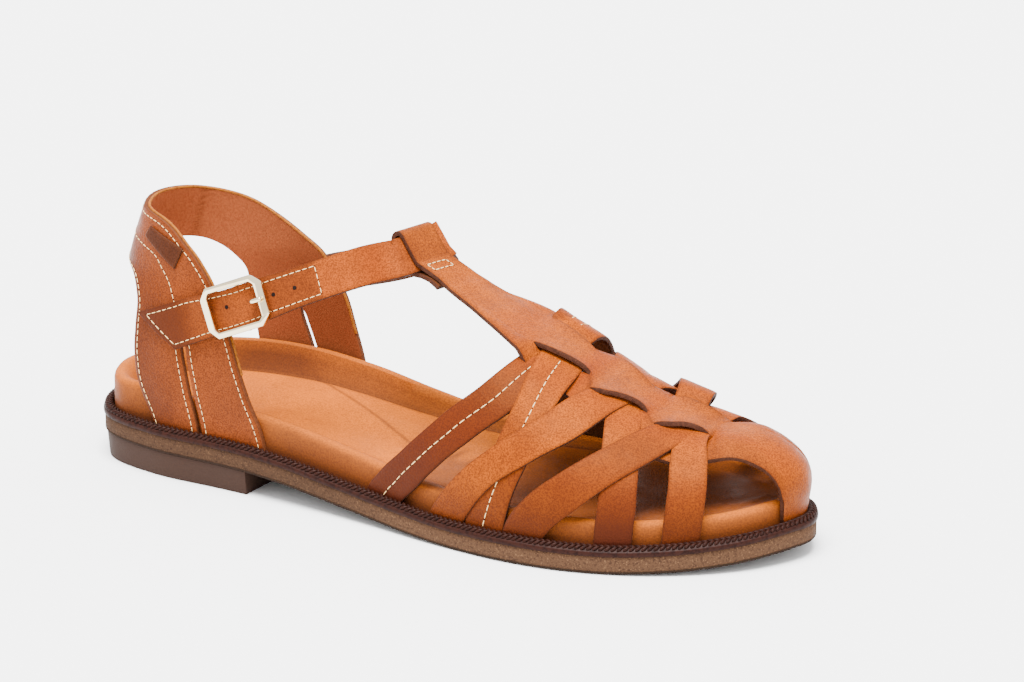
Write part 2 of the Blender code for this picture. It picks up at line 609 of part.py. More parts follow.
def quarter_rows():
    """Rows of the quarter from the outer foot, round the heel back, to the inner foot."""
    rows = []
    for side, table in ((OUTER, QUARTER_OUTER), (INNER, [QUARTER_BACK] + QUARTER_INNER[::-1])):
        for band in table:
            ends = []
            for length, z in ((band.low_l, band.low_z), (band.high_l, band.high_z)):
                foot = sole_top(edge_point(side, length, 4.0)[0]) + GAP
                ends += [side * length, foot if z is BASE else z]
            rows.append(ends)
    return smooth_path(rows, QUARTER_ROWS)


def build_upper_quarter():
    rows = quarter_rows()
    share = np.linspace(0, 1, QUARTER_STEPS)
    signed = rows[:, 0:1] + (rows[:, 2:3] - rows[:, 0:1]) * share
    z = rows[:, 1:2] + (rows[:, 3:4] - rows[:, 1:2]) * share
    outer_x, inner_x = edge_point(OUTER, -signed, 4.0)[..., 0], edge_point(INNER, signed, 4.0)[..., 0]
    z = np.maximum(z, sole_top(np.where(signed <= 0, outer_x, inner_x)) + GAP)
    walls = []
    for lift in (0.0, QUARTER_WALL):
        outer = quarter_lifted(OUTER, np.maximum(-signed, 0), z, np.full(z.shape, lift))
        inner = quarter_lifted(INNER, np.maximum(signed, 0), z, np.full(z.shape, lift))
        walls.append(np.where(signed[..., None] <= 0, outer, inner))
    quarter = sheet("upper_quarter", *walls)
    for side, table in ((OUTER, SLIT_OUTER), (INNER, SLIT_INNER)):
        path = smooth_path(table, 7)
        length = path[:, :1] + np.array([-SLIT_WIDTH / 2, SLIT_WIDTH / 2])
        height = np.repeat(path[:, 1:], 2, 1)
        tool = sheet("slit", quarter_lifted(side, length, height, np.full(height.shape, -4.0)),
                     quarter_lifted(side, length, height, np.full(height.shape, 6.0)))
        boolean(quarter, tool, "DIFFERENCE")
    return quarter


def ankle_route():
    """Middle line of the ankle strap with its width direction, from the tip to the sewn inner end."""
    lift = QUARTER_WALL + 2 * GAP + ANKLE_WALL / 2
    rows = []

    def on_quarter(side, spot, ahead):
        here = quarter_lifted(side, spot.l, spot.z, lift)
        there = quarter_lifted(side, ahead.l, ahead.z, lift)
        above = quarter_lifted(side, spot.l, spot.z + 1.0, lift)
        run = unit(there - here)
        up = unit((above - here) - run * np.dot(above - here, run))
        rows.append([*here, *up])

    for spot, ahead in zip(ANKLE_ON_OUTER, ANKLE_ON_OUTER[1:] + [Slit(66.0, 59.5)]):
        on_quarter(OUTER, spot, ahead)
    rows.extend(ANKLE_FREE_OUTER)
    centre, along, _, across = loop_axes()
    centre = centre + LOOP_STRAP_AT * along
    for step in (-12.2, -9.2, 0.0, 9.2, 11.6):
        rows.append([*(centre + step * across), *(-along)])
    rows.extend(ANKLE_FREE_INNER)
    for spot, ahead in zip(ANKLE_ON_INNER, ANKLE_ON_INNER[1:] + [Slit(54.0, 51.4)]):
        on_quarter(INNER, spot, ahead)
    return smooth_path(rows, 240)


def route_frame(route, distance):
    """Point, run, width and face directions of the route at running distances from the tip."""
    run = np.concatenate([[0], np.cumsum(np.linalg.norm(np.diff(route[:, :3], axis=0), axis=1))])
    slope = np.gradient(route[:, :3], axis=0)

    def at(values):
        return np.stack([np.interp(distance, run, values[:, k]) for k in range(3)], -1)

    along = unit(at(slope))
    up = at(route[:, 3:])
    up = unit(up - along * np.sum(up * along, -1, keepdims=True))
    return at(route[:, :3]), along, up, np.cross(along, up)


def build_ankle_strap(route):
    run = np.sum(np.linalg.norm(np.diff(route[:, :3], axis=0), axis=1))
    distance = np.linspace(0, run, ANKLE_ROWS)
    across = np.linspace(-1, 1, 4)
    skew = TIP_SKEW * np.clip(1 - distance / TIP_FADE, 0, 1)
    stations = distance[:, None] + skew[:, None] * (1 - across) / 2
    point, _, up, face = route_frame(route, stations)
    middle = point + up * (across * ANKLE_WIDTH / 2)[None, :, None]
    return sheet("ankle_strap", middle - face * ANKLE_WALL / 2, middle + face * ANKLE_WALL / 2)


def buckle_place(route):
    """Middle of the buckle on the strap and its three directions."""
    run = np.concatenate([[0], np.cumsum(np.linalg.norm(np.diff(route[:, :3], axis=0), axis=1))])
    row = ANKLE_FREE_OUTER[0]
    spot = run[int(np.argmin(np.linalg.norm(route[:, :3] - np.array(row[:3]), axis=1)))]
    return [v[0] for v in route_frame(route, np.array([spot]))]


def build_buckle_frame(place):
    point, along, up, face = place
    curve = bpy.data.curves.new("frame_outline", "CURVE")
    curve.dimensions, curve.fill_mode, curve.extrude = "2D", "BOTH", BUCKLE_THICK / 2 * MM
    for inset in (0.0, BUCKLE_BAR):
        a, b = BUCKLE_LENGTH / 2 - inset, BUCKLE_HEIGHT / 2 - inset
        c = BUCKLE_CHAMFER - 0.6 * inset
        ring = [(a - c, b), (a, b - c), (a, c - b), (a - c, -b)]
        ring += [(-u, -v) for u, v in ring]
        spline = curve.splines.new("POLY")
        spline.points.add(len(ring) - 1)
        spline.use_cyclic_u = True
        for knot, (u, v) in zip(spline.points, ring):
            knot.co = (u * MM, v * MM, 0, 1)
    holder = bpy.data.objects.new("frame_outline", curve)
    PARTS.objects.link(holder)
    seat = (point + face * BUCKLE_LIFT - ORIGIN) * MM
    rows = [[*axis, shift] for axis, shift in zip(np.stack([along, up, face], 1), seat)]
    holder.matrix_world = Matrix(rows + [[0, 0, 0, 1]])
    frame = solid_from_curve(holder)
    frame.name = "buckle_frame"
    half = BUCKLE_HEIGHT / 2 - BUCKLE_BAR / 2
    ends = [(half, BUCKLE_LIFT), (half, -BAR_DROP + 0.6), (half - 0.6, -BAR_DROP)]
    path = [point + up * v + face * n for v, n in ends]
    path += [point - up * v + face * n for v, n in reversed(ends)]
    return boolean(frame, rod("centre_bar", path, BAR_RADIUS), "UNION")


def build_buckle_prong(place, strap):
    """Prong from the centre bar, up through its hole and over the front bar."""
    point, along, up, face = place
    low, high = -BAR_DROP, BUCKLE_LIFT + BUCKLE_THICK / 2 + PRONG_RADIUS + GAP
    path = [(BAR_RADIUS + PRONG_RADIUS + GAP, low), (4.6, low), (6.0, low + 0.7), (6.9, 0.4), (7.8, 2.6)]
    path += [(8.9, high), (11.9, high)]

    def spots(pairs):
        return [point + along * s + face * n for s, n in pairs]

    hole = rod("prong_hole", spots([(5.5, -2.9), (8.1, 3.2)]), PRONG_HOLE_RADIUS)
    boolean(strap, hole, "DIFFERENCE")
    prong = rod("buckle_prong", spots(path), PRONG_RADIUS)
    prong.name = "buckle_prong"
    return prong


def build_side_label():
    low_rear, high_rear, high_front, low_front = (np.array(row, float) for row in LABEL)
    u = np.linspace(0, 1, 6)[:, None, None]
    v = np.linspace(0, 1, 3)[None, :, None]
    spot = (1 - u) * ((1 - v) * low_rear + v * high_rear) + u * ((1 - v) * low_front + v * high_front)
    walls = []
    for depth in (0.0, LABEL_WALL):
        lift = np.full(spot.shape[:2], QUARTER_WALL + GAP + depth)
        walls.append(quarter_lifted(OUTER, spot[..., 0], spot[..., 1], lift))
    return sheet("side_label", *walls)


def finish(body, root):
    """Gives a part its material, smooth shading and parent."""
    look = FINISHES[body.name]
    material = bpy.data.materials.new(body.name)
    material.use_nodes = True
    shader = material.node_tree.nodes["Principled BSDF"]
    shader.inputs["Base Color"].default_value = (*look.colour, 1.0)
    shader.inputs["Roughness"].default_value = look.roughness
    shader.inputs["Metallic"].default_value = look.metallic
    body.data.materials.clear()
    body.data.materials.append(material)
    body.data.shade_smooth()
    body.data.set_sharp_from_angle(angle=math.radians(40))
    body.parent = root


for leftover in list(bpy.data.objects):
    bpy.data.objects.remove(leftover)
PARTS = bpy.data.collections.new("t_strap_sandal")
bpy.context.scene.collection.children.link(PARTS)
ROOT = bpy.data.objects.new("sandal", None)
PARTS.objects.link(ROOT)

ROUTE = ankle_route()
PLACE = buckle_place(ROUTE)
ANKLE = build_ankle_strap(ROUTE)
BODIES = [build_outsole(), build_heel_block(), build_welt(), build_footbed()]
BODIES += [build_upper_vamp(), build_upper_quarter(), ANKLE, build_side_label()]
BODIES += [build_buckle_frame(PLACE), build_buckle_prong(PLACE, ANKLE)]
for piece in BODIES:
    finish(piece, ROOT)
bpy.context.view_layer.update()
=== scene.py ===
"""Look of a right-foot woven T-strap sandal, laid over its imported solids.

Lengths in the classes are millimetres: x runs from the heel to the toe, y from the outer (negative) to the
inner side, z up from the floor. Meshes are placed in metres about the middle of the footprint.
"""
import logging
import math
from dataclasses import dataclass, field
from enum import Enum
from typing import Optional, Sequence

import bpy
import numpy as np
from mathutils import Matrix


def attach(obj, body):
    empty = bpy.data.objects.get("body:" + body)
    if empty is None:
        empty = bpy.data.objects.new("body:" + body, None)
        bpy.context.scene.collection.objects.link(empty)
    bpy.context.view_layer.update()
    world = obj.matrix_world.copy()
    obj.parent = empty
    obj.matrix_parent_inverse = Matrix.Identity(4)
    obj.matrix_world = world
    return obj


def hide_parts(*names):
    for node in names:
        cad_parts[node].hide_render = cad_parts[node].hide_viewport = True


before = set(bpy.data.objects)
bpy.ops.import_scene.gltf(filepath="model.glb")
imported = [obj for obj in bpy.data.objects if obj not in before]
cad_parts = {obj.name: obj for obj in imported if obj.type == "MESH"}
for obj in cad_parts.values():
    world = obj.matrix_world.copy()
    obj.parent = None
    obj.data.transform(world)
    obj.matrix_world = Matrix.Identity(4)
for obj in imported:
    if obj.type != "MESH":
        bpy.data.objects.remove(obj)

LOG = logging.getLogger("sandal")
MM = 0.001  # one millimetre in metres
GAP = 0.3  # air between pieces that touch
MERGE = 0.000004  # metres within which points become one
Array = np.ndarray
Piece = bpy.types.Object
Colour = tuple[float, float, float]


class Side(Enum):
    """Outer (little toe) and inner (big toe) side of the shoe, as the sign of y."""

    OUTER = -1
    INNER = 1


class Slot(Enum):
    """Which face of a leather sheet a material goes on."""

    FACE = 0
    EDGE = 1
    BACK = 2


def unit(v: Array) -> Array:
    """Vectors of length one."""
    return v / np.linalg.norm(v, axis=-1, keepdims=True)


def ease(x: Array, low: float, high: float) -> Array:
    """Smooth step from 0 at low to 1 at high."""
    s = np.clip((np.asarray(x, float) - low) / (high - low), 0, 1)
    return s * s * (3 - 2 * s)


def fade(x: Array, low: float, high: float) -> Array:
    """Smooth step from 1 at low to 0 at high."""
    return ease(-np.asarray(x, float), -high, -low)


def bell(x: Array, at: float, wide: float) -> Array:
    """Soft bump of height 1 at a place."""
    return np.exp(-((x - at) / wide) ** 2)


def monotone(rows: Sequence[Sequence[float]], x: Array, column: int = 1) -> Array:
    """Monotone cubic through one column of a table, held flat past its ends.

    Args:
        rows: table rows, with the knot in the first column.
        x: places to read.
        column: column that is read.

    Returns:
        The values at x.
    """
    table = np.array([(row[0], row[column]) for row in rows], float)
    knots, values = table[:, 0], table[:, 1]
    step = np.diff(knots)
    slope = np.diff(values) / step
    tangent = np.zeros_like(values)
    tangent[0], tangent[-1] = slope[0], slope[-1]
    for i in range(1, len(values) - 1):
        if slope[i - 1] * slope[i] > 0:
            before, after = 2 * step[i] + step[i - 1], step[i] + 2 * step[i - 1]
            tangent[i] = (before + after) / (before / slope[i - 1] + after / slope[i])
    x = np.clip(np.asarray(x, float), knots[0], knots[-1])
    i = np.clip(np.searchsorted(knots, x) - 1, 0, len(step) - 1)
    s = (x - knots[i]) / step[i]
    rise = (2 * s**3 - 3 * s**2 + 1) * values[i] + (3 * s**2 - 2 * s**3) * values[i + 1]
    return rise + step[i] * ((s**3 - 2 * s**2 + s) * tangent[i] + (s**3 - s**2) * tangent[i + 1])


def smooth_path(points: Sequence, samples: int) -> Array:
    """Catmull-Rom curve through rows of numbers, sampled evenly in the row index.

    Args:
        points: rows that the curve passes through.
        samples: number of rows wanted.

    Returns:
        Rows along the curve.
    """
    p = np.array(points, float)
    p = np.concatenate([2 * p[:1] - p[1:2], p, 2 * p[-1:] - p[-2:-1]])
    u = np.linspace(0, len(points) - 1, samples)
    i = np.clip(u.astype(int), 0, len(points) - 2)
    s = (u - i).reshape((-1,) + (1,) * (p.ndim - 1))
    a, b, c, d = p[i], p[i + 1], p[i + 2], p[i + 3]
    return b + 0.5 * s * (c - a + s * (2 * a - 5 * b + 4 * c - d + s * (3 * (b - c) + d - a)))


def run_length(points: Array) -> Array:
    """Distance run along a line of points."""
    return np.concatenate([[0], np.cumsum(np.linalg.norm(np.diff(points[:, :3], axis=0), axis=1))])


def read_along(run: Array, values: Array, where: Array) -> Array:
    """Rows of numbers read at places along their running length."""
    return np.stack([np.interp(where, run, column) for column in values.T], -1)


def matched(a: Array, b: Array) -> Sequence[Array]:
    """Two arrays of numbers brought to one shape."""
    return np.broadcast_arrays(np.asarray(a, float), np.asarray(b, float))


@dataclass
class FootForm:
    """Sole outline and foot form that all pieces are laid on."""

    heel_back: tuple = (-1.5, 0.0)
    toe_tip: tuple = (261.0, 6.5)
    plan: tuple = (
        (8, -22.8, 22.8), (31, -32, 32), (60, -34.2, 32.6), (90, -36.6, 31.4), (120, -40.4, 32.8),
        (150, -45.8, 38.2), (177, -48.8, 42.8), (198, -47.2, 44), (220, -40, 41.2), (241, -26.6, 33),
        (255, -10.5, 21))
    bottom: tuple = (
        (0, 9), (30, 8.7), (67, 8.2), (85, 6.9), (110, 3.9), (135, 1.3), (160, 0), (208, 0), (228, 0.8),
        (245, 2.4), (259, 4.6))
    ridge: tuple = (
        (116, 0, 89.3), (125, 0, 80), (135, 0, 72.8), (144.5, 0, 69), (153, 0, 65.6), (163, 0, 60.8),
        (174, 0, 55.8), (185.4, 0.3, 50.9), (195, 0.8, 46.6), (206.5, 1.8, 41.9), (218, 3.4, 38.2),
        (228, 5.2, 36))
    wall: tuple = (
        (6, 4.95, 0), (19, 4.95, 0), (32, 4.4, 0), (40, 4.7, 0), (50, 5.6, 0.5), (60, 7.3, 1.2),
        (68, 8.9, 2.4), (75, 9.5, 3.8), (85, 10.4, 6.2), (100, 11.9, 10.5))
    band: float = 6.0
    strap_inset: float = 4.6
    wide_inset: float = 4.0
    narrow_inset: float = 12.0
    foot_share: float = 0.14
    knee_rise: float = 8.2
    fan_x: float = 228.0
    toe_zone: tuple = (222.0, 252.0)
    toe_square: float = 0.5
    toe_bulge: float = 1.8
    bulge_span: tuple = (0.07, 0.6)
    steps: int = 12
    fine_steps: int = 24
    probe: float = 0.5
    probe_heel: float = 0.3
    probe_ridge: float = 0.4
    probe_t: float = 0.02
    inside: tuple = (0.001, 0.999)
    ring: Array = field(init=False)
    origin: Array = field(init=False)
    edges: dict = field(init=False)

    def __post_init__(self) -> None:
        """Works out the outline, its middle and its running edges."""
        knots = [self.heel_back] + [(x, outer) for x, outer, _ in self.plan] + [self.toe_tip]
        knots += [(x, inner) for x, _, inner in reversed(self.plan)]
        self.ring = self._closed_curve(knots, self.steps)
        fine = self._closed_curve(knots, self.fine_steps)
        self.origin = np.append((fine.max(0) + fine.min(0)) / 2, 0.0)
        self.edges = {}
        for side in Side:
            for inset in (self.wide_inset, self.strap_inset, self.narrow_inset):
                self.edges[side, inset] = self._half_edge(fine, side, inset)

    @staticmethod
    def _closed_curve(points: Sequence, steps: int) -> Array:
        """Closed centripetal curve through plan points.

        Args:
            points: plan points in order.
            steps: points on each span.

        Returns:
            Points of the curve.
        """
        p = np.array(points, float)
        n = len(p)
        chord = [math.sqrt(np.linalg.norm(p[(i + 1) % n] - p[i])) for i in range(n)]
        s = (np.arange(steps) / steps)[:, None]
        spans = []
        for i in range(n):
            p0, p1, p2, p3 = (p[(i + k) % n] for k in (-1, 0, 1, 2))
            d0, d1, d2 = chord[i - 1], chord[i], chord[(i + 1) % n]
            m1 = (p2 - p1) + d1 * ((p1 - p0) / d0 - (p2 - p0) / (d0 + d1))
            m2 = (p2 - p1) + d1 * ((p3 - p2) / d2 - (p3 - p1) / (d1 + d2))
            spans.append((2 * s**3 - 3 * s**2 + 1) * p1 + (s**3 - 2 * s**2 + s) * m1
                         + (3 * s**2 - 2 * s**3) * p2 + (s**3 - s**2) * m2)
        return np.vstack(spans)

    def _half_edge(self, fine: Array, side: Side, inset: float) -> tuple[Array, Array]:
        """One half of the inset outline.

        Args:
            fine: close points of the whole outline.
            side: half that is wanted.
            inset: distance moved inwards.

        Returns:
            Points from heel back to toe tip, and their running length.
        """
        ring = self.inset_ring(inset, fine)
        ring = np.roll(ring, -int(np.argmin(ring[:, 0])), 0)
        tip = int(np.argmax(ring[:, 0]))
        half = ring[:tip + 1] if side is Side.OUTER else np.vstack([ring[tip:], ring[:1]])[::-1]
        return half, run_length(np.column_stack([half, np.zeros(len(half))]))

    def inset_ring(self, inset: Array, ring: Optional[Array] = None) -> Array:
        """The plan outline moved inwards along its own normals.

        Args:
            inset: distance, one or for each point.
            ring: outline, or the form's own.

        Returns:
            Plan points.
        """
        ring = self.ring if ring is None else ring
        along = unit(np.roll(ring, -1, 0) - np.roll(ring, 1, 0))
        return ring + inset * np.stack([-along[:, 1], along[:, 0]], 1)

    def edge_point(self, side: Side, length: Array, inset: Optional[float] = None) -> Array:
        """Plan point of an inset edge, or of the strap edge, at a running length from the heel back."""
        half, run = self.edges[side, inset or self.strap_inset]
        return read_along(run, half, length)

    def ring_over(self, inset: Array, height: Array) -> Array:
        """Inset outline at a height over the outsole."""
        plan = self.inset_ring(inset)
        return np.column_stack([plan, self.sole_top(plan[:, 0]) + height])

    def edge_length(self, side: Side, x: Array) -> Array:
        """Running length of the strap edge at an x."""
        half, run = self.edges[side, self.strap_inset]
        return np.interp(x, half[:, 0], run)

    def sole_bottom(self, x: Array) -> Array:
        """Height of the outsole's underside."""
        return monotone(self.bottom, x)

    def sole_top(self, x: Array) -> Array:
        """Height of the outsole's upper face."""
        return self.sole_bottom(x) + self.band

    def _toe_power(self, x: Array) -> tuple[Array, Array]:
        """How far a section is into the toe, and the roundness that goes with it."""
        toe = ease(x, *self.toe_zone)
        return toe, 2 / (2 + self.toe_square * toe)

    def last_point(self, side: Side, length: Array, t: Array) -> Array:
        """Foot form under the straps.

        Args:
            side: half of the shoe.
            length: run of the strap edge from the heel back.
            t: 0 at the welt to 1 at the ridge.

        Returns:
            Points of the form.
        """
        length, t = matched(length, t)
        p = self.edge_point(side, length)
        ridge_x = np.minimum(p[..., 0], self.fan_x)
        ridge = np.stack([ridge_x, monotone(self.ridge, ridge_x)], -1)
        ridge_z = monotone(self.ridge, ridge_x, 2)
        foot = self.sole_top(p[..., 0]) + GAP
        knee = foot + self.knee_rise
        toe, power = self._toe_power(p[..., 0])
        angle = np.clip((t - self.foot_share) / (1 - self.foot_share), 0, 1) * math.pi / 2
        start, span = self.bulge_span
        bulge = self.toe_bulge * toe * np.sin(math.pi * np.clip((t - start) / span, 0, 1))
        reach = 1 - np.abs(np.cos(angle)) ** power
        xy = p + (ridge - p) * reach[..., None] + bulge[..., None] * unit(p - ridge + 1e-9)
        low = foot + (knee - foot) * np.clip(t / self.foot_share, 0, 1)
        high = knee + (ridge_z - knee) * np.sin(angle) ** power
        return np.concatenate([xy, np.where(t < self.foot_share, low, high)[..., None]], -1)

    def last_lifted(self, side: Side, length: Array, t: Array, lift: Array) -> Array:
        """Foot form moved out along its normal.

        Args:
            side: half of the shoe.
            length: run of the strap edge.
            t: 0 at the welt to 1 at the ridge.
            lift: distance moved.

        Returns:
            Points off the form.
        """
        length, t = matched(length, t)
        u = np.clip(t, *self.inside)
        above, below = (np.clip(u + step, *self.inside) for step in (self.probe_t, -self.probe_t))
        rise = self.last_point(side, length, above) - self.last_point(side, length, below)
        run = self.last_point(side, length + self.probe, u) - self.last_point(side, length - self.probe, u)
        normal = -side.value * unit(np.cross(run, rise))
        return self.last_point(side, length, t) + normal * np.asarray(lift)[..., None]

    def ridge_angle(self, x: Array, y: Array) -> tuple[Array, Array]:
        """Place of a plan point on the round of its section.

        Args:
            x: plan place along the shoe.
            y: plan place across it.

        Returns:
            Angle, from 0 at the knee to a right angle at the ridge, and roundness.
        """
        x = np.minimum(x, self.fan_x)
        ridge_y = monotone(self.ridge, x)
        outer, inner = (self.edge_point(side, self.edge_length(side, x))[..., 1] for side in Side)
        edge = np.where(y < ridge_y, outer, inner)
        reach = np.clip((y - edge) / (ridge_y - edge), 0, 1)
        power = self._toe_power(x)[1]
        return np.arccos(np.clip((1 - reach) ** (1 / power), 0, 1)), power

    def ridge_height(self, x: Array, y: Array) -> Array:
        """Height of the foot form close to its ridge.

        Args:
            x: plan place along the shoe.
            y: plan place across it.

        Returns:
            Heights.
        """
        angle, power = self.ridge_angle(x, y)
        x = np.minimum(x, self.fan_x)
        knee = self.sole_top(x) + GAP + self.knee_rise
        return knee + (monotone(self.ridge, x, 2) - knee) * np.sin(angle) ** power

    def quarter_point(self, side: Side, length: Array, z: Array) -> Array:
        """Inner face of the heel quarter.

        Args:
            side: half of the shoe.
            length: running length from the heel back.
            z: height.

        Returns:
            Points of the face.
        """
        length, z = matched(length, z)
        wide, narrow = self.wide_inset, self.narrow_inset
        ratio = self.edges[side, narrow][1][-1] / self.edges[side, wide][1][-1]
        far, near = self.edge_point(side, length, wide), self.edge_point(side, length * ratio, narrow)
        xy = far + (near - far) * ((monotone(self.wall, z) - wide) / (narrow - wide))[..., None]
        return np.stack([xy[..., 0] + monotone(self.wall, z, 2), xy[..., 1], z], -1)

    def quarter_lifted(self, side: Side, length: Array, z: Array, lift: Array) -> Array:
        """Heel quarter's inner face moved out along its normal.

        Args:
            side: half of the shoe.
            length: running length from the heel back.
            z: height.
            lift: distance moved.

        Returns:
            Points off the face.
        """
        length, z = matched(length, z)
        step, up = self.probe_heel, self.probe
        ahead = np.maximum(length, step)
        run = self.quarter_point(side, ahead + step, z) - self.quarter_point(side, ahead - step, z)
        rise = self.quarter_point(side, length, z + up) - self.quarter_point(side, length, z - up)
        normal = -side.value * unit(np.cross(run, rise))
        return self.quarter_point(side, length, z) + normal * np.asarray(lift)[..., None]


FORM = FootForm()
ROUND_END = ((0.4, 0.9), (0.8, 0.6), (1.0, 0.0))  # reach and width of a bar's end, in radii


def activate(piece: Piece) -> None:
    """Makes a piece the only selected one.

    Args:
        piece: mesh object.
    """
    clear()
    piece.select_set(True)
    bpy.context.view_layer.objects.active = piece


def clear() -> None:
    """Leaves edit mode and deselects everything."""
    if bpy.context.object and bpy.context.object.mode != "OBJECT":
        bpy.ops.object.mode_set(mode="OBJECT")
    bpy.ops.object.select_all(action="DESELECT")


def edit(piece: Piece, *steps: tuple) -> None:
    """Runs mesh operators on all of a piece in edit mode.

    Args:
        piece: mesh object.
        steps: pairs of an operator and its settings.
    """
    activate(piece)
    bpy.ops.object.mode_set(mode="EDIT")
    bpy.ops.mesh.select_all(action="SELECT")
    for operator, settings in steps:
        operator(**settings)
    bpy.ops.object.mode_set(mode="OBJECT")


def apply(piece: Piece, kind: str, **settings: object) -> None:
    """Adds a modifier and applies it.

    Args:
        piece: mesh object.
        kind: type of the modifier.
        settings: its settings.
    """
    activate(piece)
    modifier = piece.modifiers.new(kind.lower(), kind)
    for key, value in settings.items():
        setattr(modifier, key, value)
    bpy.ops.object.modifier_apply(modifier=modifier.name)


def grid(name: str, points: Array, marks: Optional[dict] = None, holes: Sequence = (),
         centre: Optional[tuple] = None) -> Piece:
    """Grid primitive laid on rows and columns of points.

    Args:
        name: piece name.
        points: rows by columns of points.
        marks: named values for each point, kept as attributes.
        holes: cells (row, column) that are cut out.
        centre: point that the faces look away from.

    Returns:
        The piece, with meeting points merged.
    """
    rows, columns = points.shape[:2]
    clear()
    bpy.ops.mesh.primitive_grid_add(x_subdivisions=columns - 1, y_subdivisions=rows - 1, size=1)
    piece = bpy.context.object
    piece.name = piece.data.name = name
    mesh = piece.data
    mesh.vertices.foreach_set("co", ((points - FORM.origin) * MM).astype(np.float32).ravel())
    for mark, values in (marks or {}).items():
        layer = mesh.attributes.new(mark, "FLOAT", "POINT")
        spread = np.broadcast_to(values, (rows, columns)).astype(np.float32)
        layer.data.foreach_set("value", spread.ravel())
    mesh.update()
    if holes:
        cut_faces(piece, [row * (columns - 1) + column for row, column in holes])
    weld(piece)
    if centre is not None:
        face_out(piece, centre)
    return piece


def weld(piece: Piece) -> None:
    """Makes points that meet one."""
    edit(piece, (bpy.ops.mesh.remove_doubles, {"threshold": MERGE}))


def outward(piece: Piece) -> None:
    """Turns the faces of a closed body outwards."""
    edit(piece, (bpy.ops.mesh.normals_make_consistent, {"inside": False}))


def cut_faces(piece: Piece, indices: Sequence[int]) -> None:
    """Deletes faces.

    Args:
        piece: mesh object.
        indices: numbers of the faces.
    """
    activate(piece)
    chosen = np.zeros(len(piece.data.polygons), bool)
    chosen[list(indices)] = True
    bpy.ops.object.mode_set(mode="EDIT")
    bpy.ops.mesh.select_mode(type="FACE")
    bpy.ops.mesh.select_all(action="DESELECT")
    bpy.ops.object.mode_set(mode="OBJECT")
    piece.data.polygons.foreach_set("select", chosen)
    bpy.ops.object.mode_set(mode="EDIT")
    bpy.ops.mesh.delete(type="FACE")
    bpy.ops.mesh.select_mode(type="VERT")
    bpy.ops.object.mode_set(mode="OBJECT")


def face_out(piece: Piece, centre: tuple) -> None:
    """Turns the faces so that most look away from a point.

    Args:
        piece: mesh object.
        centre: the point.
    """
    count = len(piece.data.polygons)
    normal, middle = np.zeros(count * 3), np.zeros(count * 3)
    piece.data.polygons.foreach_get("normal", normal)
    piece.data.polygons.foreach_get("center", middle)
    away = middle.reshape(-1, 3) - (np.array(centre, float) - FORM.origin) * MM
    if np.sum(normal.reshape(-1, 3) * unit(away)) < 0:
        edit(piece, (bpy.ops.mesh.flip_normals, {}))


def thicken(piece: Piece, wall: float, offset: float = 1.0, round_mm: float = 0.32) -> None:
    """Gives a sheet its wall, with the edge and back on their own slots, and rounds its cut edges.

    Args:
        piece: sheet.
        wall: thickness.
        offset: 1 to thicken the face's way, 0 both ways.
        round_mm: width of the rounding.
    """
    for _ in Slot:
        piece.data.materials.append(None)
    apply(piece, "SOLIDIFY", thickness=wall * MM, offset=offset, use_even_offset=False, use_rim=True,
          material_offset=Slot.BACK.value, material_offset_rim=Slot.EDGE.value)
    bevel(piece, round_mm, 2, 55)
    smooth(piece)


def bevel(piece: Piece, width: float, segments: int, angle: float) -> None:
    """Rounds the edges that are sharper than an angle in degrees."""
    apply(piece, "BEVEL", width=width * MM, segments=segments, limit_method="ANGLE",
          angle_limit=math.radians(angle))


def smooth(piece: Piece, angle: float = 48.0) -> None:
    """Smooth shading with sharp edges kept."""
    activate(piece)
    bpy.ops.object.shade_smooth_by_angle(angle=math.radians(angle))


def join(name: str, pieces: Sequence[Piece], merge: bool = False) -> Piece:
    """Joins pieces into the first one.

    Args:
        name: name of the whole.
        pieces: mesh objects.
        merge: whether points that meet become one.

    Returns:
        The whole.
    """
    activate(pieces[0])
    for piece in pieces:
        piece.select_set(True)
    bpy.ops.object.join()
    whole = bpy.context.object
    whole.name = whole.data.name = name
    if merge:
        weld(whole)
    return whole


def loft(name: str, rings: Sequence[Array], close: bool = True, marks: Optional[dict] = None) -> Piece:
    """Closed body through equal rings; the end rings are drawn in to their middle line.

    Args:
        name: piece name.
        rings: rings of points from the bottom to the top.
        close: False joins the last ring back to the first one instead.
        marks: named values for each point of the rings.

    Returns:
        The piece with its faces looking out.
    """
    rows = [np.asarray(ring, float) for ring in rings]
    if close:
        ends = [0.5 * (ring + np.roll(ring[::-1], 1, 0)) for ring in (rows[0], rows[-1])]
        rows = [ends[0]] + rows + [ends[1]]
    else:
        rows = rows + [rows[0]]
    points = np.stack(rows)
    points = np.concatenate([points, points[:, :1]], 1)
    shaped = {}
    for mark, values in (marks or {}).items():
        values = np.asarray(values, float)
        values = np.vstack([values[:1], values, values[-1:]]) if close else np.vstack([values, values[:1]])
        shaped[mark] = np.concatenate([values, values[:, :1]], 1)
    piece = grid(name, points, shaped)
    outward(piece)
    return piece


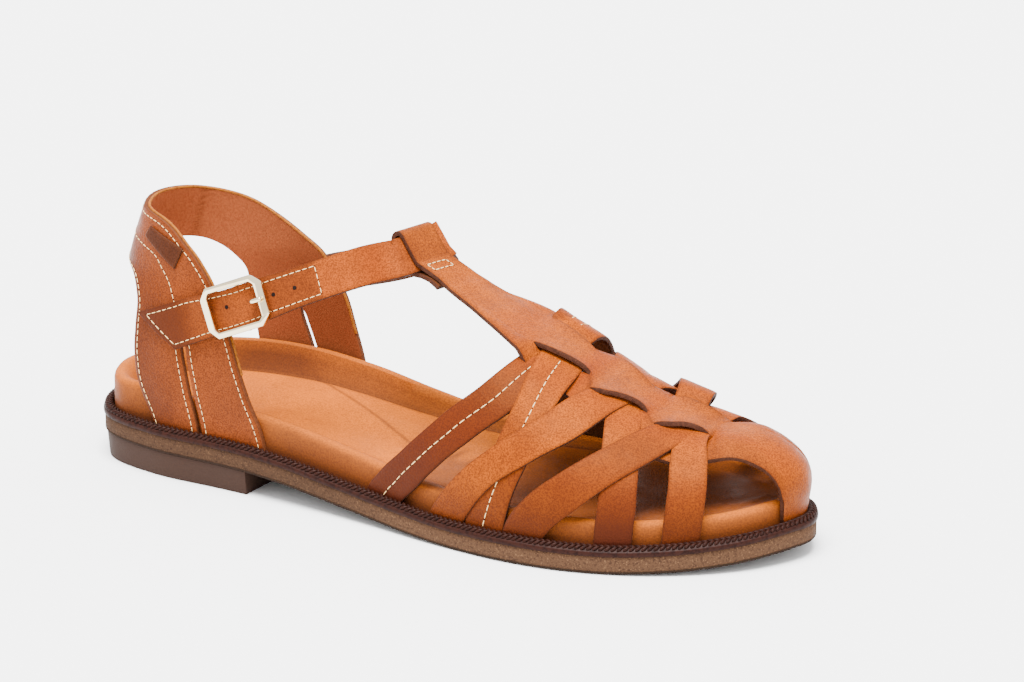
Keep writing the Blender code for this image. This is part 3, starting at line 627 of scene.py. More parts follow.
def tube(name: str, path: Array, radius: float, sides: int, up: Sequence = (0.0, 0.0, 1.0)) -> Piece:
    """Round bar or bead along a line, closed with rounded ends.

    Args:
        name: piece name.
        path: points of the line.
        radius: radius of the bar.
        sides: points round the section.
        up: direction that the section is turned to.

    Returns:
        The piece.
    """
    along = unit(np.gradient(path, axis=0))
    side = unit(np.cross(along, up))
    over = np.cross(side, along)
    turn = np.linspace(0, 2 * math.pi, sides + 1)[:, None]
    spans = [(path[0] - along[0] * radius * k, 0, share) for k, share in reversed(ROUND_END)]
    spans += [(point, i, 1.0) for i, point in enumerate(path)]
    spans += [(path[-1] + along[-1] * radius * k, -1, share) for k, share in ROUND_END]
    rows = [point + radius * share * (np.cos(turn) * side[i] + np.sin(turn) * over[i])
            for point, i, share in spans]
    piece = grid(name, np.stack(rows))
    outward(piece)
    smooth(piece, 60)
    return piece


class Tree:
    """Node tree of a material or a shared effect, with short steps to add and link nodes."""

    PORE_RANGE = (0.60, 0.38)
    PATCH_RANGE = (0.3, 0.7)

    def __init__(self, owner: bpy.types.NodeTree, place: Optional[bpy.types.NodeSocket] = None) -> None:
        """Opens a node tree.

        Args:
            owner: the node tree.
            place: output that gives the place, or none for the piece's own coordinates.
        """
        self.nodes, self.links = owner.nodes, owner.links
        self.place = place or self.node("TexCoord", "Object")

    def put(self, **values: object) -> None:
        """Sets constants on the shader's own sockets, or links outputs to them."""
        for key, value in values.items():
            self.feed(self.nodes["Principled BSDF"].inputs[key.replace("_", " ")], value)

    def feed(self, socket: bpy.types.NodeSocket, value: object) -> None:
        """Links an output to a socket, or sets its constant.

        Args:
            socket: input that is fed.
            value: output or constant.
        """
        if isinstance(value, bpy.types.NodeSocket):
            self.links.new(value, socket)
        elif isinstance(value, tuple) and len(value) == 3 and socket.type == "RGBA":
            socket.default_value = (*value, 1.0)
        else:
            socket.default_value = value

    def node(self, kind: str, output: object = 0, **inputs: object) -> bpy.types.NodeSocket:
        """Adds a node.

        Args:
            kind: node type without its ShaderNode prefix.
            output: output that is returned, by name or number.
            inputs: constants or outputs for its sockets; a leading underscore sets a node property.

        Returns:
            The output.
        """
        made = self.nodes.new("ShaderNode" + kind)
        for key in [key for key in inputs if key.startswith("_")]:
            setattr(made, key[1:], inputs.pop(key))
        for key, value in inputs.items():
            name = key.replace("_", " ")
            self.feed(made.inputs[int(name[3:]) if name.startswith("in ") else name], value)
        return made.outputs[output]

    def noise(self, scale: object, detail: float = 2.0, rough: float = 0.5, vector: object = None) -> object:
        """Noise on the piece's own coordinates."""
        return self.node("TexNoise", Vector=vector or self.place, Scale=scale, Detail=detail, Roughness=rough)

    def level(self, value: object, low: float, high: float, to_low: float = 0.0,
              to_high: float = 1.0) -> object:
        """Value brought smoothly from one range to another and clamped."""
        return self.node("MapRange", _interpolation_type="SMOOTHSTEP", Value=value, From_Min=low,
                         From_Max=high, To_Min=to_low, To_Max=to_high)

    def pores(self, scale: float, share: float) -> object:
        """Fine pores, up to a share."""
        return self.level(self.noise(scale), *self.PORE_RANGE, 0.0, share)

    def patches(self, scale: float, value: float, less: float, more: float) -> object:
        """Value that changes in soft patches, from less to more of it."""
        return self.level(self.noise(scale, 3.0), *self.PATCH_RANGE, value + less, value + more)

    def math(self, operation: str, a: object, b: object = 0.0, c: object = 0.0) -> object:
        """Arithmetic on two or three values."""
        return self.node("Math", _operation=operation, in_0=a, in_1=b, in_2=c)

    def mix(self, share: object, a: object, b: object) -> object:
        """Colour between two colours."""
        return self.node("Mix", 2, _data_type="RGBA", in_0=share, in_6=a, in_7=b)

    def mark(self, name: str) -> object:
        """Value painted on the piece's points."""
        return self.node("Attribute", "Fac", _attribute_name=name)

    def effect(self, group: bpy.types.NodeTree, **inputs: object) -> object:
        """Places a shared effect and returns its output."""
        return self.node("Group", _node_tree=group, Place=self.place, **inputs)

    def bump(self, height: object, depth_mm: float) -> None:
        """Relief from a height, of a depth in millimetres."""
        self.put(Normal=self.node("Bump", Strength=1.0, Distance=depth_mm * MM, Height=height))


class Effects:
    """Shader effects that several finishes share, each built once."""

    FLOAT = "NodeSocketFloat"
    COLOUR = "NodeSocketColor"
    GRAIN_BREAK = 0.6
    FLECK_SHARE = 0.45
    DYE_RANGE = (0.5, 0.95)

    def __init__(self) -> None:
        """Builds the groups."""
        self.grain = self._grain()
        self.mottle = self._mottle()

    @staticmethod
    def _group(name: str, inputs: dict, output: tuple) -> tuple:
        """Starts an empty group.

        Args:
            name: name of the group.
            inputs: kinds of its inputs, besides the place.
            output: name and kind of its output.

        Returns:
            The group, its open tree, its inputs by name and the socket that takes its result.
        """
        group = bpy.data.node_groups.new(name, "ShaderNodeTree")
        for key, kind in {"Place": "NodeSocketVector", **inputs}.items():
            group.interface.new_socket(key, in_out="INPUT", socket_type=kind)
        group.interface.new_socket(output[0], in_out="OUTPUT", socket_type=output[1])
        given = group.nodes.new("NodeGroupInput").outputs
        return group, Tree(group, given["Place"]), given, group.nodes.new("NodeGroupOutput").inputs[0]

    def _grain(self) -> bpy.types.NodeTree:
        """Pebble grain of leather: fine cells broken up by noise.

        Returns:
            The group.
        """
        kind = self.FLOAT
        group, tree, given, result = self._group("leather_grain", {"Scale": kind}, ("Height", kind))
        scale = given["Scale"]
        cells = tree.node("TexVoronoi", "Distance", _feature="SMOOTH_F1", Vector=tree.place, Scale=scale)
        tree.feed(result, tree.math("MULTIPLY_ADD", tree.noise(scale, 4.0), self.GRAIN_BREAK, cells))
        return group

    def _mottle(self) -> bpy.types.NodeTree:
        """Uneven dye: broad clouds and fine flecks between two colours.

        Returns:
            The group.
        """
        inputs = {"Light": self.COLOUR, "Dark": self.COLOUR, "Cloud": self.FLOAT, "Fleck": self.FLOAT}
        group, tree, given, result = self._group("dye_mottle", inputs, ("Color", self.COLOUR))
        cloud, fleck = tree.noise(given["Cloud"], 5.0, 0.62), tree.noise(given["Fleck"], 3.0)
        both = tree.math("MULTIPLY_ADD", fleck, self.FLECK_SHARE, cloud)
        spread = tree.node("MapRange", Value=both, From_Min=self.DYE_RANGE[0], From_Max=self.DYE_RANGE[1])
        tree.feed(result, tree.mix(spread, given["Light"], given["Dark"]))
        return group


EFFECTS = Effects()


@dataclass(frozen=True)
class MaterialFinish:
    """A finish that becomes one material."""

    name: str

    def build(self) -> bpy.types.Material:
        """Makes the material.

        Returns:
            The material.
        """
        material = bpy.data.materials.new(self.name)
        material.use_nodes = True
        self.paint(Tree(material.node_tree))
        return material

    def paint(self, tree: Tree) -> None:
        """Builds the nodes in the material's tree."""
        raise NotImplementedError


@dataclass(frozen=True)
class LeatherFinish(MaterialFinish):
    """Vegetable-tanned leather; its dark mark and its orange tone mark lay partly burnished dye and partly
    painted shade, its rim mark worn rims.
    """

    light: Colour
    mid: Colour
    dark: Colour
    glow: Colour
    edge: Colour
    roughness: float = 0.42
    uneven: tuple = (-0.06, 0.10)
    patch: float = 160.0
    depth_mm: float = 0.09
    pores: float = 0.6
    speck: float = 2200.0
    worn: float = 0.35
    worn_mm: float = 1.2

    def paint(self, tree: Tree) -> None:
        """Lays the dye with its painted shade, its pores and worn rims, and the grain.

        Args:
            tree: the material's tree.
        """
        dye = tree.effect(EFFECTS.mottle, Light=self.light, Dark=self.mid, Cloud=70.0, Fleck=1500.0)
        # The dark mark and the orange tone mark paint shade into the dye, partly standing for burnished dye.
        dye = tree.mix(tree.mark("dark"), dye, self.dark)
        dye = tree.mix(tree.mark("glow"), dye, self.glow)
        dye = tree.mix(tree.pores(self.speck, self.pores), dye, self.dark)
        worn = tree.math("MULTIPLY", tree.level(tree.mark("rim"), self.worn_mm, 0.0), self.worn)
        rough = tree.patches(self.patch, self.roughness, *self.uneven)
        tree.put(Base_Color=tree.mix(worn, dye, self.edge), Roughness=rough, Specular_IOR_Level=0.08,
                 Specular_Tint=(1.0, 0.34, 0.08))
        tree.bump(tree.effect(EFFECTS.grain, Scale=1250.0), self.depth_mm)


@dataclass(frozen=True)
class CutEdgeFinish(MaterialFinish):
    """Raw fibre of a cut leather edge, dyed dark."""

    light: Colour
    dark: Colour
    fibre: float = 2200.0
    depth_mm: float = 0.12

    def paint(self, tree: Tree) -> None:
        """Lays the dye and the fibre.

        Args:
            tree: the material's tree.
        """
        dye = tree.effect(EFFECTS.mottle, Light=self.light, Dark=self.dark, Cloud=900.0, Fleck=2600.0)
        tree.put(Base_Color=dye, Roughness=0.72, Specular_IOR_Level=0.06)
        tree.bump(tree.noise(self.fibre, 3.0), self.depth_mm)


@dataclass(frozen=True)
class SuedeFinish(MaterialFinish):
    """Napped lining with soft strokes; reads the deep mark, painted shade deeper in the shoe, and the seam
    mark of a piece.
    """

    light: Colour
    dark: Colour
    nap: float = 1500.0
    stretch: tuple = (1.0, 1.0, 0.8)
    cloud: float = 60.0
    deep: Colour = (0.060, 0.0140, 0.0055)
    seam: Colour = (0.010, 0.003, 0.001)
    seam_share: float = 0.4
    depth_mm: float = 0.1

    def paint(self, tree: Tree) -> None:
        """Lays the nap, its clouds, the painted shade of the deep mark and the seam's dark line.

        Args:
            tree: the material's tree.
        """
        stretched = tree.node("Mapping", Vector=tree.place, Scale=self.stretch)
        strokes = tree.noise(self.nap, 3.0, 0.6, stretched)
        dye = tree.mix(tree.level(strokes, 0.35, 0.7), self.light, self.dark)
        dye = tree.mix(tree.level(tree.noise(self.cloud, 3.0), 0.45, 0.75, 0.0, 0.5), dye, self.dark)
        dye = tree.mix(tree.mark("deep"), dye, self.deep)
        dye = tree.mix(tree.math("MULTIPLY", tree.mark("seam"), self.seam_share), dye, self.seam)
        tree.put(Base_Color=dye, Roughness=0.85, Specular_IOR_Level=0.05, Specular_Tint=(1.0, 0.4, 0.12))
        tree.bump(strokes, self.depth_mm)


@dataclass(frozen=True)
class FootbedFinish(MaterialFinish):
    """Smooth insole leather with painted shade in its creases, along a fold line and where its shade mark
    lies; the fold's sizes are metres.
    """

    light: Colour
    mid: Colour
    dark: Colour
    pores: float = 0.35
    speck: float = 1900.0
    fold_normal: tuple = (0.440, 0.898, 0.0)
    fold_offset: float = 0.0082
    fold_half: float = 0.0013
    fold_span: tuple = (-0.068, -0.056, -0.014, -0.004)
    fold_shade_share: float = 0.5
    crease_shade_share: float = 0.8
    roughness: float = 0.46
    uneven: float = 0.14
    patch: float = 120.0
    depth_mm: float = 0.06

    def _fold(self, tree: Tree) -> object:
        """Painted shade along a faint fold line that runs slantwise over the bed.

        Args:
            tree: the material's tree.

        Returns:
            How strongly it shows.
        """
        across = tree.node("VectorMath", "Value", _operation="DOT_PRODUCT", in_0=tree.place,
                           in_1=self.fold_normal)
        off = tree.math("ABSOLUTE", tree.math("ADD", across, self.fold_offset))
        along = tree.node("SeparateXYZ", "X", Vector=tree.place)
        start, full, hold, end = self.fold_span
        span = tree.math("MULTIPLY", tree.level(along, start, full), tree.level(along, end, hold))
        return tree.math("MULTIPLY", tree.level(off, self.fold_half, 0.0), span)

    def paint(self, tree: Tree) -> None:
        """Lays the dye, the painted shade of the fold, the creases and the shade mark, and the grain.

        Args:
            tree: the material's tree.
        """
        dye = tree.effect(EFFECTS.mottle, Light=self.light, Dark=self.mid, Cloud=38.0, Fleck=1100.0)
        dye = tree.mix(tree.math("MULTIPLY", self._fold(tree), self.fold_shade_share), dye, self.dark)
        dye = tree.mix(tree.mark("shade"), dye, self.dark)
        dye = tree.mix(tree.math("MULTIPLY", tree.mark("crease"), self.crease_shade_share), dye, self.dark)
        dye = tree.mix(tree.pores(self.speck, self.pores), dye, self.dark)
        tree.put(Base_Color=dye, Specular_IOR_Level=0.05, Specular_Tint=(1.0, 0.5, 0.16),
                 Roughness=tree.patches(self.patch, self.roughness, 0.0, self.uneven))
        tree.bump(tree.effect(EFFECTS.grain, Scale=1700.0), self.depth_mm)


@dataclass(frozen=True)
class SpeckleFinish(MaterialFinish):
    """Moulded sole rubber with fine light and dark crumbs; reads the lip mark of a piece, a dark lip with
    painted shade.
    """

    base: Colour
    light: Colour
    dark: Colour
    crumb: float
    roughness: float = 0.82
    amount: float = 1.0
    dark_share: float = 0.75
    light_share: float = 0.7
    lip_and_shade_share: float = 0.9
    lip: Colour = (0.011, 0.006, 0.004)
    depth_mm: tuple = (0.02, 0.14)

    def paint(self, tree: Tree) -> None:
        """Lays the crumbs, and the dark lip with its painted shade.

        Args:
            tree: the material's tree.
        """
        grit, other = tree.noise(self.crumb, 4.0, 0.7), tree.noise(self.crumb * 1.4, 3.0, 0.6)
        share = tree.math("MULTIPLY", tree.level(grit, 0.5, 0.62), self.dark_share * self.amount)
        dye = tree.mix(share, self.base, self.dark)
        share = tree.math("MULTIPLY", tree.level(other, 0.56, 0.68), self.light_share * self.amount)
        dye = tree.mix(share, dye, self.light)
        dye = tree.mix(tree.math("MULTIPLY", tree.mark("lip"), self.lip_and_shade_share), dye, self.lip)
        tree.put(Base_Color=dye, Roughness=self.roughness, Specular_IOR_Level=0.06)
        tree.bump(grit, self.depth_mm[1] * self.amount + self.depth_mm[0])


@dataclass(frozen=True)
class PlainFinish(MaterialFinish):
    """Thread, welt, binding, holes and metal: one colour with fine unevenness."""

    base: Colour
    shade: Colour
    roughness: float
    metallic: float = 0.0
    scale: float = 1500.0
    depth_mm: float = 0.03
    gloss: float = 0.1
    uneven: float = 0.06

    def paint(self, tree: Tree) -> None:
        """Lays the colour and its flecks.

        Args:
            tree: the material's tree.
        """
        fleck = tree.noise(self.scale, 3.0)
        rough = tree.level(fleck, *tree.PATCH_RANGE, *(self.roughness + k * self.uneven for k in (-1, 1)))
        tree.put(Base_Color=tree.mix(tree.level(fleck, 0.4, 0.7), self.base, self.shade),
                 Metallic=self.metallic, Specular_IOR_Level=self.gloss, Roughness=rough)
        tree.bump(fleck, self.depth_mm)


class Finish(Enum):
    """Every finish of the sandal."""

    # Leather colours: light, mid, dark, the orange tone for burnish and painted warm shade, and the worn
    # edge.
    LEATHER = LeatherFinish("cognac_leather", (0.34, 0.069, 0.0015), (0.18, 0.035, 0.0025),
                            (0.0348, 0.0076, 0.0046), (0.2, 0.026, 0.0006), (0.023, 0.006, 0.003))
    QUARTER = LeatherFinish("quarter_leather", (0.18, 0.037, 0.0075), (0.115, 0.024, 0.006),
                            (0.0337, 0.0077, 0.0035), (0.14, 0.025, 0.003), (0.023, 0.006, 0.003))
    STRAP = LeatherFinish("ankle_leather", (0.3, 0.059, 0.006), (0.17, 0.033, 0.005),
                          (0.0408, 0.0095, 0.0044), (0.16, 0.023, 0.002), (0.023, 0.006, 0.003))
    LABEL = LeatherFinish("label_leather", (0.048, 0.013, 0.0055), (0.034, 0.0095, 0.0043),
                          (0.015, 0.0048, 0.0028), (0.048, 0.011, 0.004), (0.064, 0.02, 0.008),
                          roughness=0.55)
    EDGE = CutEdgeFinish("cut_edge", (0.064, 0.022, 0.0115), (0.026, 0.009, 0.0055))
    EDGE_LIGHT = CutEdgeFinish("collar_edge", (0.115, 0.033, 0.011), (0.06, 0.018, 0.007))
    BACK = SuedeFinish("flesh_side", (0.0856, 0.0266, 0.0093), (0.0462, 0.015, 0.0064))
    LINING = SuedeFinish("suede_lining", (0.3, 0.078, 0.026), (0.215, 0.054, 0.019))
    HONEY = PlainFinish("honey_binding", (0.24, 0.0709, 0.004), (0.152, 0.0418, 0.0037), 0.6, scale=900.0)
    FOOTBED = FootbedFinish("insole_leather", (0.49, 0.111, 0.004), (0.33, 0.077, 0.006),
                            (0.038, 0.0135, 0.0095))
    CREPE = SpeckleFinish("speckled_band", (0.064, 0.0315, 0.0165), (0.15, 0.078, 0.038),
                          (0.024, 0.011, 0.0068), 1300)
    HEEL = SpeckleFinish("heel_rubber", (0.029, 0.0149, 0.0104), (0.0366, 0.0197, 0.0144),
                         (0.0222, 0.0112, 0.0079), 1300, 0.62, 0.35)
    WELT = PlainFinish("welt_leather", (0.0185, 0.0054, 0.0033), (0.0088, 0.0024, 0.0016), 0.45, scale=800.0,
                       depth_mm=0.06, gloss=0.06)
    THREAD = PlainFinish("cream_thread", (0.8, 0.53, 0.25), (0.52, 0.33, 0.15), 0.8, scale=2600.0,
                         depth_mm=0.08)
    HOLE = PlainFinish("needle_hole", (0.0069, 0.0024, 0.0016), (0.0034, 0.0013, 0.001), 0.85)
    METAL = PlainFinish("pale_gold", (0.74, 0.62, 0.4), (0.66, 0.54, 0.33), 0.1, 1.0, 60.0, 0.004,
                        uneven=0.02)

    def material(self) -> bpy.types.Material:
        """The finish's material, made once."""
        return bpy.data.materials.get(self.value.name) or self.value.build()


def dress(piece: Piece, node: str, *finishes: Finish) -> Piece:
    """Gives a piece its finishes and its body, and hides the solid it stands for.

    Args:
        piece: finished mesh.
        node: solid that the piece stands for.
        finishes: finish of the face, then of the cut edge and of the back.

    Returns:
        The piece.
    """
    faces = np.zeros(len(piece.data.polygons), np.int32)
    piece.data.polygons.foreach_get("material_index", faces)
    piece.data.materials.clear()
    for finish in finishes:
        piece.data.materials.append(finish.material())
    piece.data.polygons.foreach_set("material_index", np.minimum(faces, len(finishes) - 1))
    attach(piece, "root")
    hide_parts(node)
    LOG.info("%s stands for %s with %d faces", piece.name, node, len(piece.data.polygons))
    return piece


@dataclass
class Lobes:
    """Many small rounded bodies, such as stitches, copied from one and joined as one mesh."""

    name: str
    long: int = 6
    around: int = 6
    blunt: float = 0.72
    centres: list = field(default_factory=list)
    frames: list = field(default_factory=list)

    def add(self, centre: Array, along: Array, across: Array, up: Array) -> None:
        """Adds bodies by their middles and their three half axes."""
        self.centres.append(np.atleast_2d(centre))
        self.frames.append(np.stack([np.atleast_2d(v) for v in (along, across, up)], 1))

    def build(self) -> Piece:
        """Models one body and lays a copy at every place.

        Returns:
            The joined piece.
        """
        clear()
        bpy.ops.mesh.primitive_uv_sphere_add(segments=self.around, ring_count=self.long, radius=1)
        pattern = bpy.context.object
        local = np.zeros(len(pattern.data.vertices) * 3)
        pattern.data.vertices.foreach_get("co", local)
        local = local.reshape(-1, 3)[:, [2, 0, 1]]
        local[:, 0] = np.sign(local[:, 0]) * np.abs(local[:, 0]) ** self.blunt
        faces = [tuple(face.vertices) for face in pattern.data.polygons]
        bpy.data.meshes.remove(pattern.data)
        centres, frames = np.concatenate(self.centres), np.concatenate(self.frames)
        points = centres[:, None, :] + np.einsum("vk,nkc->nvc", local, frames)
        count = len(local)
        cells = [tuple(i * count + k for k in face) for i in range(len(centres)) for face in faces]
        mesh = bpy.data.meshes.new(self.name)
        mesh.from_pydata(((points.reshape(-1, 3) - FORM.origin) * MM).tolist(), [], cells)
        piece = bpy.data.objects.new(self.name, mesh)
        bpy.context.scene.collection.objects.link(piece)
        outward(piece)
        smooth(piece, 80)
        return piece


@dataclass
class Seam:
    """Thread rows of one sub-assembly, with the needle holes between the stitches."""

    name: str
    pitch: float
    share: float = 0.78
    radius: float = 0.15
    flat: float = 0.8
    stand: float = 0.08
    hole: tuple = (0.28, 0.22, 0.08)
    hole_reach: float = 0.4
    thread: Lobes = field(init=False)
    holes: Lobes = field(init=False)

    def __post_init__(self) -> None:
        """Starts the two meshes."""
        self.thread = Lobes(self.name + "_thread")
        self.holes = Lobes(self.name + "_needle_holes", long=4, around=6, blunt=1.0)

    def row(self, line: Array, normal: Array, pitch: Optional[float] = None) -> None:
        """Lays stitches along a line on a surface.

        Args:
            line: points on the surface.
            normal: way out of the surface at each point.
            pitch: distance from stitch to stitch, or the seam's own.
        """
        run = run_length(line)
        count = max(1, round(run[-1] / (pitch or self.pitch)))
        step = run[-1] / count
        half = step * self.share / 2
        stitch = (half, self.radius, self.radius * self.flat)
        for lobes, where, reach, stand, size in (
                (self.thread, (np.arange(count) + 0.5) * step, half, self.stand, stitch),
                (self.holes, np.arange(count + 1) * step, self.hole_reach, 0.0, self.hole)):
            out = unit(read_along(run, normal, where))
            along = unit(read_along(run, line, where + reach) - read_along(run, line, where - reach))
            spot = read_along(run, line, where) + out * stand
            lobes.add(spot, along * size[0], np.cross(out, along) * size[1], out * size[2])

    def build(self, node: str) -> None:
        """Makes and dresses the thread and its holes."""
        dress(self.thread.build(), node, Finish.THREAD)
        dress(self.holes.build(), node, Finish.HOLE)


@dataclass
class Sole:
    """Outsole band, heel block, braided welt and footbed."""

    heel_breast_x: float = 71.0
    footbed_inset: float = 5.2
    band_section: tuple = (
        (6, 0, 1), (0.9, 0, 1), (0.35, 0.12, 1), (0, 0.5, 1), (0, 0.95, 1), (0.12, 1.05, 0), (0.12, 1.2, 0),
        (0, 1.35, 0), (0, 3.5, 0), (0, 5.5, 0), (0.2, 5.9, 0), (0.6, 6, 0))
    heel_shadow: tuple = (0.42, 100, 140)
    heel_insets: tuple = (1.4, 0.6)
    shares: tuple = (0.25, 0.5, 0.75)
    heel_gap: float = 0.05
    breast_gap: float = 1.2
    welt_section: tuple = (
        (-0.4, 0.05), (-0.5, 0.5), (-0.45, 1.3), (-0.1, 1.75), (0.4, 1.95), (0.7, 2.5), (1.5, 2.8),
        (2.3, 2.6), (2.6, 0.3), (1, 0.05))
    # inset, height, slant, tilt and start of each row
    plait_rows: tuple = ((0.75, 2.55, 1, 0.55, 0.5), (2.05, 2.85, -1, -0.15, 0))
    plait_pitch: float = 1.95
    plait_probe: float = 0.4
    plait_lean: tuple = (0.8, 0.6)
    plait_size: tuple = (1.4, 0.55, 0.7)
    rim: tuple = (
        (0, 14, 6.5, 0), (30, 13.6, 7, 5), (60, 13.2, 8, 7), (85, 12.8, 8.5, 6.8), (110, 12, 8.5, 5.4),
        (135, 11, 8.3, 3.4), (160, 10.4, 8.2, 0.8), (180, 10, 8.2, 0), (205, 9.8, 8.1, 0), (221, 9.6, 8, 2.8),
        (240, 9.5, 8, 2), (260, 9.5, 8, 0))
    arch_reach: float = 25.0
    arch_share: float = 0.35
    heel_bulge: float = 1.8
    bulge_zone: tuple = (24.0, 11.0)
    side_shares: tuple = (0.3, 0.65)
    side_crease_shade: tuple = (0.8, 0.35)
    rim_section: tuple = ((0, 2.2), (0.25, 1.2), (0.8, 0.45), (1.7, 0.05), (2.8, 0), (4.2, 0.35))
    # inset, fall, groove depth and painted crease shade of each bed ring
    bed_section: tuple = (
        (10.2, 0.42, 0, 0), (11.8, 0.72, 0, 0.1), (12.7, 0.92, 0, 0.6), (13.5, 1, 0.2, 0.95),
        (14.6, 0.97, 0.05, 0.25), (16.5, 0.95, 0, 0))
    cup_zone: tuple = (150, 205)
    # painted shade of each ring from the side's foot over the rim and down the wall
    rim_shade: tuple = (0.82, 0.73, 0.68, 0.63, 0.52, 0.35, 0.14, 0.1, 0.25, 0.58, 0.58, 0.45, 0.1)
    toe_shade: tuple = (0.63, 138, 168)
    wall_shade: tuple = (0.24, 55, 75)
    heel_light: tuple = (0.65, 14, 40)
    ball_shade: tuple = (0.65, 118, 138, 170, 200)

    def build(self) -> None:
        """Builds the four pieces."""
        self.outsole()
        self.heel_block()
        self.welt()
        self.footbed()

    def outsole(self) -> None:
        """Speckled band with a thin dark lip at its foot and painted shade over its heel end."""
        rings, lip = [], []
        share, *zone = self.heel_shadow
        for inset, height, dark in self.band_section:
            plan = FORM.inset_ring(inset)
            rings.append(np.column_stack([plan, FORM.sole_bottom(plan[:, 0]) + height]))
            lip.append(np.maximum(dark, share * fade(plan[:, 0], *zone)))
        piece = loft("outsole_band", rings, marks={"lip": lip})
        smooth(piece, 40)
        dress(piece, "outsole", Finish.CREPE)

    def heel_block(self) -> None:
        """Low heel with a straight breast and softened edges."""

        def outline(inset: float) -> Array:
            """Heel part of the inset outline, closed across the breast.

            Args:
                inset: distance moved inwards.

            Returns:
                Plan points.
            """
            ring = FORM.inset_ring(inset)
            half = len(ring) // 2
            outer = [p for p in ring[:half] if p[0] < self.heel_breast_x - self.breast_gap]
            inner = [ring[-i] for i in range(1, len(outer))]
            corners = [(self.heel_breast_x, np.interp(self.heel_breast_x, *edge.T))
                       for edge in (ring[:half], ring[half:][::-1])]
            return np.array(outer + corners + inner[::-1])

        floor, top = (outline(inset) for inset in self.heel_insets)
        height = FORM.sole_bottom(top[:, 0])
        rings = [np.column_stack([floor, 0 * height])]
        rings += [np.column_stack([floor + share * (top - floor), height * share]) for share in self.shares]
        rings.append(np.column_stack([top, height - self.heel_gap]))
        piece = loft("heel_block_rubber", rings)
        bevel(piece, 0.55, 3, 50)
        smooth(piece, 40)
        dress(piece, "heel_block", Finish.HEEL)

    def welt(self) -> None:
        """Smooth strip under a plaited ridge that runs all round."""
        rings = [FORM.ring_over(inset, height) for inset, height in self.welt_section]
        piece = loft("welt_strip", rings, close=False)
        smooth(piece, 50)
        dress(piece, "welt", Finish.WELT)
        plait = Lobes("welt_plait", long=6, around=8, blunt=0.8)
        long, wide, high = self.plait_size
        for inset, height, slant, tilt, start in self.plait_rows:
            line = FORM.ring_over(inset, height)
            line = np.vstack([line, line[:1]])
            run = run_length(line)
            count = round(run[-1] / self.plait_pitch)
            middle = (np.arange(count) + start) * run[-1] / count
            centre = read_along(run, line, middle)
            along = unit(read_along(run, line, (middle + self.plait_probe) % run[-1]) - centre)
            inward = unit(np.cross([0.0, 0.0, 1.0], along))
            across = unit(inward + tilt * np.cross(along, inward))
            out = np.cross(along, across)
            lean = unit(along * self.plait_lean[0] + slant * across * self.plait_lean[1])
            plait.add(centre, lean * long, np.cross(out, lean) * wide, out * high)
        dress(plait.build(), "welt", Finish.WELT)

    def footbed(self) -> None:
        """Cupped insole: rounded rim, a sloping wall, a crease at its foot and the bed."""
        start, span = self.bulge_zone
        bulge = self.heel_bulge * np.clip((start - FORM.ring[:, :1]) / span, 0, 1)
        side = FORM.inset_ring(self.footbed_inset - bulge)
        foot, none = FORM.sole_top(side[:, 0]), np.zeros(len(side))
        rim, bed, arch = (monotone(self.rim, side[:, 0], column) for column in (1, 2, 3))
        arch = arch * np.clip(side[:, 1] / self.arch_reach, 0, 1)
        rim, bed = foot + rim + arch, foot + bed + self.arch_share * arch
        # The crease marks are painted shade at the side's foot and in the groove at the wall's foot.
        rings, crease = [np.column_stack([side, foot + GAP])], [none + self.side_crease_shade[0]]
        for share in self.side_shares:
            rings.append(np.column_stack([side, foot + GAP + share * (rim - self.rim_section[0][1] - foot)]))
            crease.append(none + self.side_crease_shade[1] * (1 - share))
        for inset, drop in self.rim_section:
            rings.append(np.column_stack([FORM.inset_ring(self.footbed_inset + inset - bulge), rim - drop]))
            crease.append(none)
        for inset, fall, groove, dark in self.bed_section:
            plan = FORM.inset_ring(inset)
            cup = fade(plan[:, 0], *self.cup_zone)
            rings.append(np.column_stack([plan, rim + fall * (bed - rim) - groove * cup]))
            crease.append(dark * cup)
        middle = 0.5 * (plan + np.roll(plan[::-1], 1, 0))
        for share in self.shares:
            level = bed + (1 - fall) * (1 - share) * (rim - bed)
            rings.append(np.column_stack([plan + share * (middle - plan), level]))
            crease.append(none)
        shade = self._bed_shade(np.stack(rings))
        piece = loft("footbed_leather", rings, marks={"crease": crease, "shade": shade})
        smooth(piece, 60)
        dress(piece, "footbed", Finish.FOOTBED)

    def _bed_shade(self, points: Array) -> Array:
        """Painted shade of the footbed: its foot, the wall under the rim and what lies under the straps,
        eased off in the heel cup and least along the rim's crest as a painted highlight.

        Args:
            points: rings of points from the foot to the bed.

        Returns:
            Share of dark at each point.
        """
        x, outer = points[..., 0], points[..., 1] < 0
        shade = np.zeros(x.shape)
        shade[:len(self.rim_shade)] = np.array(self.rim_shade)[:, None]
        ball, wall, bed, bed_foot = 5, 8, 9, 13
        share, *zone = self.toe_shade
        shade[bed:] = np.maximum(shade[bed:], share * ease(x[bed:], *zone))
        share, *zone = self.wall_shade
        shade[wall:bed_foot - 1] += share * fade(x[wall:bed_foot - 1], *zone)
        share, *zone = self.heel_light
        shade[wall:bed_foot] *= 1 - share + share * ease(x[wall:bed_foot], *zone)
        share, start, full, fade_from, end = self.ball_shade
        under = share * ease(x, start, full) * outer * fade(x, fade_from, end)
        shade[ball:] = np.maximum(shade[ball:], under[ball:])
        return shade


@dataclass(frozen=True)
class Strap:
    """One woven strap by stations: its two edges, its stand off the form and how dark it is, partly burnished
    dye and partly painted shade towards the welt.

    inner tells the inner side apart: its arch at both edges, how far it lies back, and its two widenings.
    """

    name: str
    top: float
    rear: tuple
    front: tuple
    lift: tuple
    inner: tuple
    dark: tuple
    stitched: bool = False


